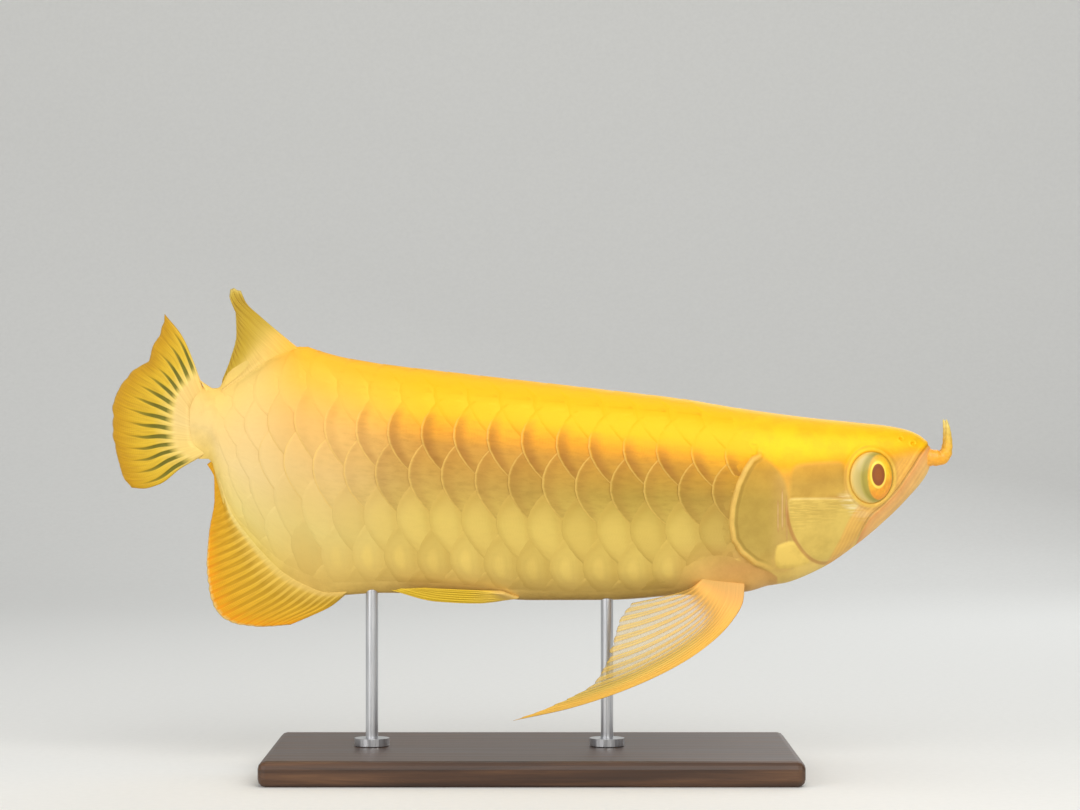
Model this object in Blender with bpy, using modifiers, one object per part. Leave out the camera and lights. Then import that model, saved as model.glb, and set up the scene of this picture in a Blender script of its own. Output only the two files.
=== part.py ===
"""A young asian arowana, life size, as a still display model on a two-rod stand.

X runs from tail to head, Z is up, and the origin is under the middle of the stand's base.
Sizes below are in millimetres, and every point is turned to metres by the last step of each piece.
"""
import functools
import math

import bmesh
import bpy
import numpy as np
from mathutils import Matrix, Vector

MM = 0.001
GAP = 0.3  # between neighbouring pieces

# The body's side outline and thickness: x, height of back, height of belly, half width
BODY = (
    (-146, 158.5, 123.0, 1.2),
    (-140, 158.2, 124.0, 1.7),
    (-133, 156.6, 125.0, 2.6),
    (-129, 153.4, 124.6, 3.3),
    (-126, 153.0, 115.2, 3.9),
    (-121, 155.8, 101.6, 4.9),
    (-115, 159.6, 93.6, 6.0),
    (-108, 164.0, 85.8, 7.4),
    (-100, 167.8, 78.4, 8.9),
    (-92, 170.0, 73.8, 10.2),
    (-80, 166.5, 70.2, 12.0),
    (-60, 162.9, 71.2, 14.2),
    (-30, 159.3, 70.6, 16.3),
    (0, 155.9, 68.3, 17.5),
    (30, 152.5, 68.4, 18.1),
    (60, 148.9, 70.6, 18.3),
    (80, 145.6, 72.6, 18.3),
    (100, 142.7, 75.0, 17.8),
    (115, 140.9, 80.8, 16.4),
    (130, 139.4, 90.8, 14.2),
    (142, 138.1, 101.0, 11.5),
    (150, 136.4, 109.0, 9.0),
    (155, 134.2, 114.6, 6.8),
    (158, 131.4, 119.0, 4.2),
    (159.4, 128.6, 122.6, 1.6),
)
# The section's form: x, height of the widest line as a share of the depth, and the
# exponents of the upper and lower halves, where 2 is an ellipse and less is a keel
SECTION = (
    (-146, 0.50, 2.0, 2.0),
    (-120, 0.58, 2.0, 1.7),
    (-80, 0.62, 2.2, 1.7),
    (0, 0.62, 2.4, 1.75),
    (80, 0.60, 2.5, 1.8),
    (120, 0.58, 2.7, 1.9),
    (159.4, 0.55, 2.4, 2.0),
)
HEAD_FROM = ((84.5, 175.0), (101.0, 55.0))  # the cut behind the head, top and bottom
TAIL_FROM = -92.0  # the cut between trunk and tail stem
TAIL_END = ((-131.6, 165.0), (-133.0, 157.6), (-141.2, 148.4), (-142.2, 139.0), (-141.2, 130.4),
            (-133.4, 125.0), (-131.8, 117.0))  # the rounded end that carries the tail fin

# Scales: rows round the body, their pitch along it, and how far the free edge stands up
SCALE_ROWS = 12
SCALE_PITCH = ((-146, 7.0), (-119, 9.0), (-92, 12.2), (-40, 13.2), (125, 13.6))
SCALE_FIRST = -117.0
# Stations of the smooth end of the tail stem
PLAIN_TAIL = (-120.2, -123.4, -126.0, -128.4, -131.0, -146.0)
SCALE_LAST = 106.0
SCALE_RISE = 0.5
SCALE_SLOPE = 0.35  # how far the free edge leans back over its foot
SCALE_CURVE = 0.83  # pitches that the edge falls back in one row
SCALE_LEAN = 0.12  # pitches that each row lies ahead of the one above it
SCALE_STEPS = 5  # lines of points to a row
SCALE_FADE_X = (-119.0, -104.0)  # the scales sink into the tail stem between these
SCALE_FADE_BELLY = (0.03, 0.08)  # shares of the girth from the keel, where they rise
SCALE_FADE_DORSAL = (8.0, 0.02, 0.06)  # ahead of the dorsal fin, and shares from its root
SCALE_FADE_PECTORAL = (10.0, 17.0)  # distances from the pectoral fin's root
EDGE_SHAPE = (1.0, 0.97, 0.86, 0.62)  # the edge's rise from its middle to its end

TAIL_BEND_FROM = -66.0  # the tail turns to the far side behind this
TAIL_BEND = 6.0  # how far the tip of the tail fin turns
TAIL_TIP_X = -169.0

# The mouth line from the snout to its corner, then the hinder edge of the jaw
MOUTH = ((166.0, 133.6), (157.8, 130.2), (155.2, 127.4), (151.6, 122.0), (148.6, 117.6),
         (145.0, 112.4), (139.6, 106.8), (134.2, 102.0), (131.2, 97.0))
JAW_BACK = ((128.4, 90.4), (125.0, 83.6), (121.0, 75.0))
JAW_FRONT_X = 168.0
HEAD_START, PLATE_START, JAW_START = 76.0, 96.0, 110.0  # stations behind each piece's cut
HEAD_STATIONS = 16
HEAD_AROUND = 32

# The outline of a gill cover: its free rim from top to bottom, then its front edge
GILL_RIM = ((90.4, 126.6), (87.2, 125.8), (84.4, 121.8), (81.2, 115.0), (78.8, 106.4),
            (78.0, 99.4), (79.0, 92.8), (82.4, 87.6), (88.0, 83.0), (94.4, 80.4))
GILL_FRONT = ((98.4, 79.6), (103.6, 81.0), (107.2, 85.2), (105.6, 91.0), (102.4, 96.0),
              (102.0, 106.0), (101.0, 115.0), (96.6, 123.0))
GILL_DEPTH = 2.6
GILL_PROUD = 0.35
GILL_SPAN = (66.0, 122.0)

# Bony plates of the cheek, and the strip of the upper jaw over the mouth
UPPER_CHEEK = ((103.8, 110.2), (126.2, 110.4), (125.2, 115.4), (125.6, 120.6), (128.4, 125.4),
               (120.0, 126.2), (106.4, 124.4), (104.4, 117.0))
LOWER_CHEEK = ((104.0, 108.8), (127.0, 108.8), (130.4, 104.4), (131.0, 98.8), (128.0, 92.4),
               (122.0, 87.4), (115.2, 84.6), (110.6, 86.0), (108.6, 91.0), (104.6, 95.6),
               (103.8, 102.0))
PLATE_RISE = 0.4
PLATE_ROOT = 1.0  # how deep a plate starts under the skin
LIP_WIDTH = 2.8
LIP_RISE = 0.3
LIP_OVERLAP = 0.8  # over the mouth line, which the cut then trims
NOSTRILS = ((151.6, 131.2, 0.9), (146.8, 133.0, 0.8))  # x, z and radius
NOSTRIL_WALL = 0.55
NOSTRIL_SEAT, NOSTRIL_HOLLOW = -0.3, 0.5  # where the rim's ball and the hollow's lie

EYE_AT = (135.6, 117.2)
EYE_RADII = (9.0, 5.2, 10.2)
EYE_PROUD = 1.5  # how far the eye stands out of the head
ORBIT_WIDTH = 0.9  # the rim round the eye
ORBIT_TURNS, ORBIT_SIDES = 20, 5

BARBEL_ROOT = (158.9, 125.4)
BARBEL_LIFT = ((0.0, 0.0), (4.2, 0.2), (6.9, 3.2), (7.9, 8.6), (7.2, 13.0), (6.4, 15.4))
BARBEL_RADII = (2.2, 0.6)
BARBEL_SIDE = 2.6  # half the distance between the two roots
BARBEL_SPREAD = 0.12  # outwards for each unit of height
BARBEL_STATIONS = 9

# Fins: the front ray, the line of ray tips and the last ray, each from root or front to end
DORSAL_ROOT = (-93.0, -125.2)
DORSAL_LEAD = ((-100.8, 175.2), (-108.8, 182.0), (-114.4, 187.4), (-116.6, 192.2))
DORSAL_TIPS = ((-120.6, 193.6), (-121.4, 190.4), (-118.9, 184.0), (-118.5, 175.0),
               (-121.0, 164.6), (-124.0, 156.8))
DORSAL_RAYS = 17
ANAL_ROOT = (-73.0, -128.7)
ANAL_LEAD = ((-80.8, 65.6), (-88.8, 61.8), (-96.8, 58.4))
ANAL_TIPS = ((-108.8, 57.5), (-120.4, 59.0), (-126.4, 63.4), (-129.4, 71.2), (-130.5, 83.0),
             (-129.6, 95.0), (-127.3, 109.0), (-127.4, 117.0), (-130.2, 122.6))
ANAL_RAYS = 24
TAIL_ROOT = TAIL_END[1:-1]
TAIL_LEAD = ((-136.0, 164.8), (-140.2, 174.0), (-147.4, 183.0))
TAIL_TIPS = ((-149.2, 175.8), (-152.4, 170.4), (-154.4, 164.2), (-160.2, 160.6),
             (-165.8, 154.0), (-169.0, 146.0), (-169.0, 136.0), (-167.0, 125.6),
             (-164.0, 116.6), (-160.8, 113.2))
TAIL_LAST = ((-141.0, 120.8), (-149.4, 114.6), (-156.4, 112.8))
TAIL_RAYS = 16
# The paired fins also give y, outwards from the middle of the body
PECTORAL_ROOT = ((84.6, 4.6, 75.0), (76.0, 6.2, 75.4), (67.4, 7.4, 76.4))
PECTORAL_LEAD = ((84.0, 8.4, 67.6), (80.4, 12.6, 60.4), (67.2, 20.0, 47.8), (43.2, 27.4, 34.8),
                 (15.0, 32.4, 25.0), (-8.0, 35.0, 20.0))
PECTORAL_TIPS = ((11.2, 32.6, 27.6), (23.4, 31.0, 34.4), (29.2, 29.4, 43.6), (32.0, 26.4, 52.0),
                 (35.2, 22.6, 61.4), (40.0, 19.6, 67.2))
PECTORAL_LAST = ((62.4, 11.6, 72.6), (51.2, 15.8, 69.6), (40.0, 19.6, 67.2))
PECTORAL_RAYS = 7
PECTORAL_ROLL = {"right": 0.0, "left": 54.0}  # degrees outwards, as the fish is sculling
PELVIC_ROOT = ((-7.0, 3.4, 69.4), (-10.0, 5.0, 70.6), (-13.0, 6.6, 72.0))
PELVIC_LEAD = ((-22.0, 5.0, 67.4), (-38.0, 6.8, 68.2), (-56.4, 9.0, 73.0))
PELVIC_TIPS = ((-52.0, 9.4, 73.6), (-44.0, 9.6, 73.8))
PELVIC_LAST = ((-20.0, 7.6, 72.6), (-32.0, 8.8, 73.2), (-44.0, 9.6, 73.8))
PELVIC_RAYS = 5
FIN_SINK = 1.2  # the middle fins' roots lie this deep before they are trimmed
ROLL_LINE = (0.0, 2.2, -1.6)  # from the line a paired fin turns on to its root

# Half thicknesses: a ray at the root and at the tip, and the membrane between two rays
DORSAL_HALF = (1.5, 0.45, 0.35)
ANAL_HALF = (1.5, 0.45, 0.35)
TAIL_HALF = (1.5, 0.45, 0.35)
PECTORAL_HALF = (1.1, 0.5, 0.35)
PELVIC_HALF = (0.9, 0.45, 0.35)

BASE_SIZE = (210.0, 116.0, 10.0)
BASE_ROUND = 3.0
ROD_RADIUS = 2.5
ROD_AT = {"front": 30.0, "rear": -64.0}
FOOT_RADIUS = 7.0
FOOT_HEIGHT = 3.0
ROD_OVER = 7.0  # the rod is drawn this far into the body, then trimmed to it

SKIN = {
    "back": (0.95, 0.55, 0.04),
    "head": (0.88, 0.55, 0.12),
    "jaw": (0.88, 0.60, 0.35),
    "gill": (0.72, 0.52, 0.22),
    "fin": (0.85, 0.55, 0.08),
    "eye": (0.75, 0.45, 0.05),
    "base": (0.06, 0.05, 0.045),
    "steel": (0.62, 0.63, 0.65),
}


def smooth_line(points):
    """A curve through (x, value) points, level where they turn, so it never overshoots."""
    xs, ys = np.array(points, float).T
    steps = np.diff(xs)
    slopes = np.diff(ys) / steps
    tangents = np.zeros(len(xs))
    tangents[0], tangents[-1] = slopes[0], slopes[-1]
    same = slopes[:-1] * slopes[1:] > 0
    weights = 3 * (steps[:-1] + steps[1:])
    first = 2 * steps[1:] + steps[:-1]
    second = steps[1:] + 2 * steps[:-1]
    with np.errstate(divide="ignore", invalid="ignore"):
        mean = weights / (first / slopes[:-1] + second / slopes[1:])
    tangents[1:-1][same] = mean[same]

    def value(x):
        i = int(np.clip(np.searchsorted(xs, x) - 1, 0, len(steps) - 1))
        t = min(max((x - xs[i]) / steps[i], 0.0), 1.0)
        near, far = ys[i], ys[i + 1]
        start, end = tangents[i] * steps[i], tangents[i + 1] * steps[i]
        return (near * (1 + 2 * t) * (1 - t) ** 2 + start * t * (1 - t) ** 2
                + far * t * t * (3 - 2 * t) + end * t * t * (t - 1))

    return value


back_at, belly_at, width_at = (smooth_line([(row[0], row[i]) for row in BODY]) for i in (1, 2, 3))
widest_at, upper_at, lower_at = (smooth_line([(row[0], row[i]) for row in SECTION]) for i in (1, 2, 3))
TAIL_X, NOSE_X = BODY[0][0], BODY[-1][0]


@functools.lru_cache(maxsize=None)
def section_at(x):
    """The section at x: top, widest line, bottom, half width and the two exponents."""
    top, bottom = back_at(x), belly_at(x)
    middle = bottom + widest_at(x) * (top - bottom)
    return top, middle, bottom, width_at(x), upper_at(x), lower_at(x)


def on_section(x, turn):
    """The body's surface at x, turned from the back (0) over the right side to the belly (pi)."""
    top, middle, bottom, half, upper, lower = section_at(x)
    up, out = math.cos(turn), -math.sin(turn)
    power = 2 / (upper if up > 0 else lower)
    rise = (top if up > 0 else bottom) - middle
    return Vector((x, half * math.copysign(abs(out) ** power, out), middle + rise * abs(up) ** power))


def half_width(x, z):
    """The body's half width at x and height z."""
    top, middle, bottom, half, upper, lower = section_at(x)
    share, power = ((z - middle) / (top - middle), upper) if z > middle else (
        (middle - z) / (middle - bottom), lower)
    return half * max(0.0, 1 - min(share, 1.0) ** power) ** (1 / power)


@functools.lru_cache(maxsize=None)
def girth_at(x):
    """Turns from back to belly with the length of skin passed at each."""
    turns = np.linspace(0, math.pi, 41)
    points = np.array([on_section(x, turn) for turn in turns])
    steps = np.linalg.norm(np.diff(points, axis=0), axis=1)
    return turns, np.concatenate([[0], np.cumsum(steps)])


def girth_turn(x, around):
    """The turn that lies a share of the way round the body, measured along the skin."""
    side = around % 1.0
    share = 2 * side if side <= 0.5 else 2 * (1 - side)
    turns, lengths = girth_at(x)
    turn = float(np.interp(share * lengths[-1], lengths, turns))
    return turn if side <= 0.5 else 2 * math.pi - turn


def skin_point(x, around, out=0.0):
    """A point of the skin, moved out along its normal."""
    x = min(max(x, TAIL_X), NOSE_X)
    turn = girth_turn(x, around)
    here = on_section(x, turn)
    if not out:
        return here
    along = on_section(min(x + 0.5, NOSE_X), turn) - on_section(max(x - 0.5, TAIL_X), turn)
    round_it = on_section(x, turn + 0.05) - on_section(x, turn - 0.05)
    return here + round_it.cross(along).normalized() * out


def bent(point):
    """The tail's turn to the far side."""
    past = max(0.0, TAIL_BEND_FROM - point[0]) / (TAIL_BEND_FROM - TAIL_TIP_X)
    return Vector((point[0], point[1] + TAIL_BEND * past * past, point[2]))


def new_object(name, points, faces, colour=None):
    """A mesh object from points in millimetres; with no colour it is a helper, made in pieces."""
    mesh = bpy.data.meshes.new(name)
    mesh.from_pydata([Vector(p) * MM for p in points], [], faces)
    mesh.update()
    made = bpy.data.objects.new(name, mesh)
    bpy.context.scene.collection.objects.link(made)
    tidy_mesh(made)
    if colour:
        finish(made, colour)
    return made


def tidy_mesh(made):
    """Outward normals on the object's closed mesh."""
    work = bmesh.new()
    work.from_mesh(made.data)
    bmesh.ops.recalc_face_normals(work, faces=work.faces)
    work.to_mesh(made.data)
    work.free()


def finish(made, colour):
    """The object takes its material and place among the model's pieces."""
    material = bpy.data.materials.get(colour) or bpy.data.materials.new(colour)
    material.use_nodes = True
    shader = material.node_tree.nodes["Principled BSDF"]
    shader.inputs["Base Color"].default_value = (*SKIN[colour], 1)
    shader.inputs["Roughness"].default_value = 0.35
    shader.inputs["Metallic"].default_value = 1.0 if colour == "steel" else 0.0
    made.data.materials.clear()
    made.data.materials.append(material)
    made.data.shade_smooth()
    made.data.set_sharp_from_angle(angle=math.radians(40))
    for holder in list(made.users_collection):
        holder.objects.unlink(made)
    pieces.objects.link(made)


def combine(made, others, operation, solver="EXACT"):
    """Joins, cuts or keeps what the object shares with others, which are then removed."""
    group = bpy.data.collections.new("helpers")
    bpy.context.scene.collection.children.link(group)
    for other in others:
        for holder in list(other.users_collection):
            holder.objects.unlink(other)
        group.objects.link(other)
    step = made.modifiers.new("Boolean", "BOOLEAN")
    step.operation = operation
    step.solver = solver
    step.operand_type = "COLLECTION"
    step.collection = group
    graph = bpy.context.evaluated_depsgraph_get()
    mesh = bpy.data.meshes.new_from_object(made.evaluated_get(graph))
    made.modifiers.clear()
    old = made.data
    made.data = mesh
    bpy.data.meshes.remove(old)
    for other in others:
        bpy.data.objects.remove(other)
    bpy.data.collections.remove(group)
    keep_largest(made)
    return made


def islands(work):
    """The separate closed surfaces of a bmesh, as lists of faces."""
    left = set(work.faces)
    found = []
    while left:
        stack = [left.pop()]
        island = list(stack)
        while stack:
            for edge in stack.pop().edges:
                for face in edge.link_faces:
                    if face in left:
                        left.remove(face)
                        stack.append(face)
                        island.append(face)
        found.append(island)
    return found


def keep_largest(made):
    """Drops loose scraps and sealed hollows, by the size of each surface's box."""
    work = bmesh.new()
    work.from_mesh(made.data)
    found = islands(work)

    def spread(island):
        spots = np.array([v.co for face in island for v in face.verts])
        return float(np.prod(spots.max(axis=0) - spots.min(axis=0)))

    found.sort(key=spread, reverse=True)
    extra = [face for island in found[1:] for face in island]
    bmesh.ops.delete(work, geom=extra, context="FACES")
    work.to_mesh(made.data)
    work.free()


def ring_faces(start, other, around):
    """Faces between two rings of points, each given by its first index."""
    return [(start + i, start + (i + 1) % around, other + (i + 1) % around, other + i)
            for i in range(around)]


def cap_faces(ring, centre):
    """A fan of faces from a closed ring of indices to a centre."""
    return [(here, there, centre) for here, there in zip(ring, ring[1:] + ring[:1])]


def loft(name, xs, around, out=0.0, bend=True):
    """The plain body between the first and last x, as rings joined to a closed surface."""
    points = [skin_point(x, i / around, out) for x in xs for i in range(around)]
    faces = []
    for row in range(len(xs) - 1):
        faces += ring_faces(row * around, (row + 1) * around, around)
    for start, x, push in ((0, xs[0], -out), ((len(xs) - 1) * around, xs[-1], out)):
        points.append(Vector((x + push, 0, (back_at(x) + belly_at(x)) / 2)))
        faces += cap_faces(list(range(start, start + around)), len(points) - 1)
    if bend:
        points = [bent(p) for p in points]
    return new_object(name, points, faces)


def ramp(value, low, high):
    """Rises smoothly from 0 at low to 1 at high."""
    share = min(max((value - low) / (high - low), 0.0), 1.0)
    return share * share * (3 - 2 * share)


def scale_rise(x, around):
    """How far a scale's free edge stands up: less at fins' roots, the belly and the tail stem."""
    from_back = abs((around + 0.5) % 1.0 - 0.5)
    rise = SCALE_RISE * ramp(0.5 - from_back, *SCALE_FADE_BELLY) * ramp(x, *SCALE_FADE_X)
    ahead, *shares = SCALE_FADE_DORSAL
    if x < DORSAL_ROOT[0] + ahead:
        rise *= ramp(from_back, *shares)
    root = PECTORAL_ROOT[1]
    apart = math.hypot(x - root[0], on_section(x, girth_turn(x, around)).z - root[2])
    return rise * ramp(apart, *SCALE_FADE_PECTORAL)


def scale_lines():
    """The stations of whole columns of scales, from the tail forwards."""
    pitch = smooth_line(SCALE_PITCH)
    stations = [SCALE_FIRST]
    while stations[-1] < SCALE_LAST:
        stations.append(stations[-1] + pitch(stations[-1]))
    for _ in range(3):
        stations.append(stations[-1] + pitch(stations[-1]))
    return stations


def scale_point(stations, row, column, step, raised):
    """A point of a scale's free edge, or of its foot, counted in steps from the scale's middle."""
    off = step / SCALE_STEPS
    line = (row + off) % SCALE_ROWS
    place = column / 2 + SCALE_CURVE * off * off + SCALE_LEAN * min(line, SCALE_ROWS - line)
    x = float(np.interp(place, range(len(stations)), stations))
    around = line / SCALE_ROWS
    if not raised:
        return skin_point(x, around)
    x += SCALE_SLOPE
    return skin_point(x, around, scale_rise(x, around) * EDGE_SHAPE[abs(step)])


def scaly_body(name):
    """Trunk and tail stem in one, with overlapping scales raised in the surface."""
    stations = scale_lines()
    last = 2 * (len(stations) - 4)
    reach = len(EDGE_SHAPE) - 1
    points, foot, edge = [], {}, {}
    for column in range(last + 3):
        for row in range(column % 2, SCALE_ROWS, 2):
            for step in range(-reach, reach + 1):
                for kept, raised in ((foot, False), (edge, True)):
                    if raised and column > last:
                        continue
                    kept[row, column, step] = len(points)
                    points.append(scale_point(stations, row, column, step, raised))
    faces = []
    for column in range(last + 1):
        for row in range(column % 2, SCALE_ROWS, 2):
            above, below = (row - 1) % SCALE_ROWS, (row + 1) % SCALE_ROWS
            ends = foot[above, column + 1, 1], foot[below, column + 1, -1]
            own = range(-reach, reach + 1)
            low = [ends[0], *(foot[row, column, step] for step in own), ends[1]]
            high = [ends[0], *(edge[row, column, step] for step in own), ends[1]]
            ahead = [ends[0], foot[above, column + 1, 2], foot[above, column + 1, 3],
                     *(foot[row, column + 2, step] for step in (-1, 0, 1)),
                     foot[below, column + 1, -3], foot[below, column + 1, -2], ends[1]]
            for near, far in ((low, high), (high, ahead)):
                faces.append((near[0], near[1], far[1]))
                for i in range(1, len(near) - 2):
                    faces += [(near[i], near[i + 1], far[i + 1]), (near[i], far[i + 1], far[i])]
                faces.append((near[-2], near[-1], far[-2]))
    lines = SCALE_ROWS * SCALE_STEPS
    rear, front = [None] * lines, [None] * lines
    for row in range(SCALE_ROWS):
        odd = row % 2
        for ring, wide_column, narrow_column in ((rear, 0, 1), (front, last + 1, last + 2)):
            wide = odd == wide_column % 2
            column, width = (wide_column, reach) if wide else (narrow_column, 1)
            for step in range(-width, width + 1):
                ring[(row * SCALE_STEPS + step) % lines] = foot[row, column, step]
    nose_end = stations[-1] + SCALE_PITCH[-1][1]
    for ring, xs in ((rear, PLAIN_TAIL), (front, (nose_end,))):
        for x in xs:
            start = len(points)
            points += [skin_point(x, i / lines) for i in range(lines)]
            fresh = list(range(start, start + lines))
            for i in range(lines):
                after = (i + 1) % lines
                faces += [(ring[i], ring[after], fresh[after]), (ring[i], fresh[after], fresh[i])]
            ring = fresh
        points.append(Vector((xs[-1], 0, (back_at(xs[-1]) + belly_at(xs[-1])) / 2)))
        faces += cap_faces(ring, len(points) - 1)
    return new_object(name, [bent(p) for p in points], faces)


def spaced(first, last, step):
    """Even values from first to last, about step apart."""
    return list(np.linspace(first, last, max(2, round(abs(last - first) / step) + 1)))


def grown(outline, by):
    """A closed outline in X and Z, moved outwards."""
    spots = np.array(outline, float)
    turn = np.roll(spots, -1, axis=0) - np.roll(spots, 1, axis=0)
    normal = np.stack([turn[:, 1], -turn[:, 0]], axis=1)
    normal /= np.linalg.norm(normal, axis=1, keepdims=True)
    area = np.sum(spots[:, 0] * np.roll(spots[:, 1], -1) - np.roll(spots[:, 0], -1) * spots[:, 1])
    return [tuple(p) for p in spots + normal * by * (1 if area > 0 else -1)]


def prism(name, outline, near=-60.0, far=60.0):
    """An outline in X and Z, drawn out from y near to y far."""
    count = len(outline)
    points = [(x, y, z) for y in (near, far) for x, z in outline]
    faces = [tuple(range(count)), tuple(range(count, 2 * count))]
    faces += [(i, (i + 1) % count, count + (i + 1) % count, count + i) for i in range(count)]
    return new_object(name, points, faces)


def side_prism(name, outline, side):
    """A prism on one side of the body only."""
    out = -1 if side == "right" else 1
    return prism(name, outline, out * 2.0, out * 40.0)


def through(points, count):
    """Points evenly along a smooth curve through the given ones."""
    spots = np.array(points, float)
    reach = np.concatenate([[0], np.cumsum(np.linalg.norm(np.diff(spots, axis=0), axis=1))])
    lines = [smooth_line(list(zip(reach, spots[:, i]))) for i in range(spots.shape[1])]
    return [Vector([line(at) for line in lines]) for at in np.linspace(0, reach[-1], count)]


def fin(name, root, lead, tips, last, rays, rows, half, colour="fin", slack=0.0):
    """A rayed fin over the patch between its root, front ray, tips and last ray."""
    columns = 2 * rays - 1
    root = through(root, columns)
    tips = through(tips, columns)
    lead = through(lead, rows + 1)
    last = through(last, rows + 1)
    spots = np.zeros((rows + 1, columns, 3))
    for row in range(rows + 1):
        b = row / rows
        for column in range(columns):
            a = column / (columns - 1)
            sides = lead[row] * (1 - a) + last[row] * a
            ends = root[column] * (1 - b) + tips[column] * b
            corners = ((lead[0] * (1 - a) + last[0] * a) * (1 - b)
                       + (lead[-1] * (1 - a) + last[-1] * a) * b)
            spots[row, column] = sides + ends - corners
    across = np.gradient(spots, axis=1)
    along = np.gradient(spots, axis=0)
    normal = np.cross(across, along)
    normal /= np.maximum(np.linalg.norm(normal, axis=2, keepdims=True), 1e-9)
    at_root, at_tip, membrane = half
    points, index = [], {}
    for face_side in (1, -1):
        for row in range(rows + 1):
            b = row / rows
            for column in range(columns):
                ray = at_root + (at_tip - at_root) * b
                film = max(membrane, at_root * 0.75 * (1 - b) ** 2)
                thick = ray if column % 2 == 0 else min(ray, film)
                index[face_side, row, column] = len(points)
                points.append(Vector(spots[row, column] + normal[row, column] * thick * face_side))
    faces = []
    for row in range(rows):
        for column in range(columns - 1):
            for face_side in (1, -1):
                a, b, c, d = (index[face_side, row + i, column + j] for i, j in
                              ((0, 0), (0, 1), (1, 1), (1, 0)))
                faces += [(a, b, c), (a, c, d)]
    rim = ([(0, i) for i in range(columns)] + [(i, columns - 1) for i in range(1, rows + 1)]
           + [(rows, i) for i in range(columns - 2, -1, -1)] + [(i, 0) for i in range(rows - 1, 0, -1)])
    for here, there in zip(rim, rim[1:] + rim[:1]):
        faces.append((index[(1, *here)], index[(1, *there)], index[(-1, *there)], index[(-1, *here)]))
    return points, faces


def flat(points):
    """Points of X and Z set on the middle plane."""
    return [(x, 0.0, z) for x, z in points]


def sunk_line(ends, line_at, sink, count=30):
    """The root of a fin from front to rear along the back, or with a sink below 0 the belly."""
    line = through([(x, line_at(x)) for x in np.linspace(*ends, 80)], count)
    ways = np.gradient(np.array(line), axis=0)
    ways /= np.linalg.norm(ways, axis=1, keepdims=True)
    return [(p[0] - way[1] * sink, p[1] + way[0] * sink) for p, way in zip(line, ways)]


def middle_fin(name, root, lead, tips, last, rays, rows, half, bare):
    """A fin of the middle line, trimmed clear of the body."""
    root = flat(root)
    lead = [root[0], *flat(lead)]
    last = [root[-1], *flat(last)]
    tips = [lead[-1], *flat(tips)]
    if len(last) == 1 or last[-1] != tips[-1]:
        last.append(tips[-1])
    points, faces = fin(name, root, lead, tips, last, rays, rows, half)
    made = new_object(name, [bent(p) for p in points], faces)
    combine(made, [bare()], "DIFFERENCE")
    finish(made, "fin")
    return made


def paired_fin(name, side, root, lead, tips, last, rays, rows, half, roll, bare):
    """A fin of one side, rolled outwards about the line of its root."""
    sign = -1 if side == "right" else 1
    inner = Vector(root[1]) - Vector(ROLL_LINE)
    points, faces = fin(name, root, [root[0], *lead], [lead[-1], *tips], [root[-1], *last],
                        rays, rows, half)
    turn = Matrix.Rotation(math.radians(roll), 3, "X")
    points = [inner + turn @ (p - inner) for p in points]
    made = new_object(name, [bent((p[0], p[1] * sign, p[2])) for p in points], faces)
    combine(made, [bare()], "DIFFERENCE")
    finish(made, "fin")
    return made


def behind(line_top, line_bottom, past):
    """The outline of all that lies behind a line across the side view, short of it by a gap."""
    (x1, z1), (x2, z2) = line_top, line_bottom
    return [(x1 + past, z1), (-300.0, z1), (-300.0, z2), (x2 + past, z2)]


def body_near(first, last, out=GAP):
    """A maker of the plain body, grown by a gap, between two stations."""
    middle = min(max(-105.0, first), last)
    xs = spaced(first, middle, 1.8)[:-1] if first < middle else []
    return lambda: loft("clear", xs + spaced(middle, last, 3.0), SCALE_ROWS * SCALE_STEPS, out)


def make_trunk():
    made = scaly_body("trunk")
    combine(made, [prism("cut", behind(*HEAD_FROM, -GAP / 2))], "INTERSECT")
    tail = [(TAIL_FROM, 230.0), (TAIL_FROM, 40.0), (-200.0, 40.0), (-200.0, 230.0)]
    combine(made, [prism("tail", tail)], "DIFFERENCE")
    for side in ("right", "left"):
        combine(made, [gill_pocket(side)], "DIFFERENCE")
    finish(made, "back")


def make_tail_stem():
    made = scaly_body("tail_stem")
    front = TAIL_FROM - GAP
    combine(made, [prism("cut", [*TAIL_END, (front, 60.0), (front, 200.0)])], "INTERSECT")
    finish(made, "back")


def gill_outline():
    return [*GILL_RIM, *GILL_FRONT]


def gill_pocket(side):
    """What the gill cover and its gap take out of the head and trunk."""
    made = side_prism("pocket", grown(gill_outline(), GAP), side)
    core = loft("core", spaced(*GILL_SPAN, 4.0), 32, -GILL_DEPTH - GAP)
    return combine(made, [core], "DIFFERENCE")


def make_gill_cover(side):
    made = loft("gill_cover_" + side, spaced(*GILL_SPAN, 3.5), 40, GILL_PROUD)
    combine(made, [side_prism("cut", gill_outline(), side)], "INTERSECT")
    combine(made, [loft("core", spaced(*GILL_SPAN, 4.0), 32, -GILL_DEPTH)], "DIFFERENCE")
    finish(made, "gill")


def jaw_outline():
    return [*MOUTH, *JAW_BACK, (JAW_FRONT_X, JAW_BACK[-1][1]), (JAW_FRONT_X, MOUTH[0][1])]


def nose_stations(first):
    """Stations that close up towards the nose."""
    reach, last = NOSE_X - first, HEAD_STATIONS - 1
    return [first + reach * math.sin(i / last * math.pi / 2) for i in range(HEAD_STATIONS)]


def side_plate(name, outline, side, rise):
    """A thin plate that stands up from the side of the head."""
    made = loft(name, nose_stations(PLATE_START), HEAD_AROUND, rise)
    combine(made, [side_prism("cut", outline, side)], "INTERSECT")
    return combine(made, [loft("core", nose_stations(PLATE_START - 2), 24, -PLATE_ROOT)], "DIFFERENCE")


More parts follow.
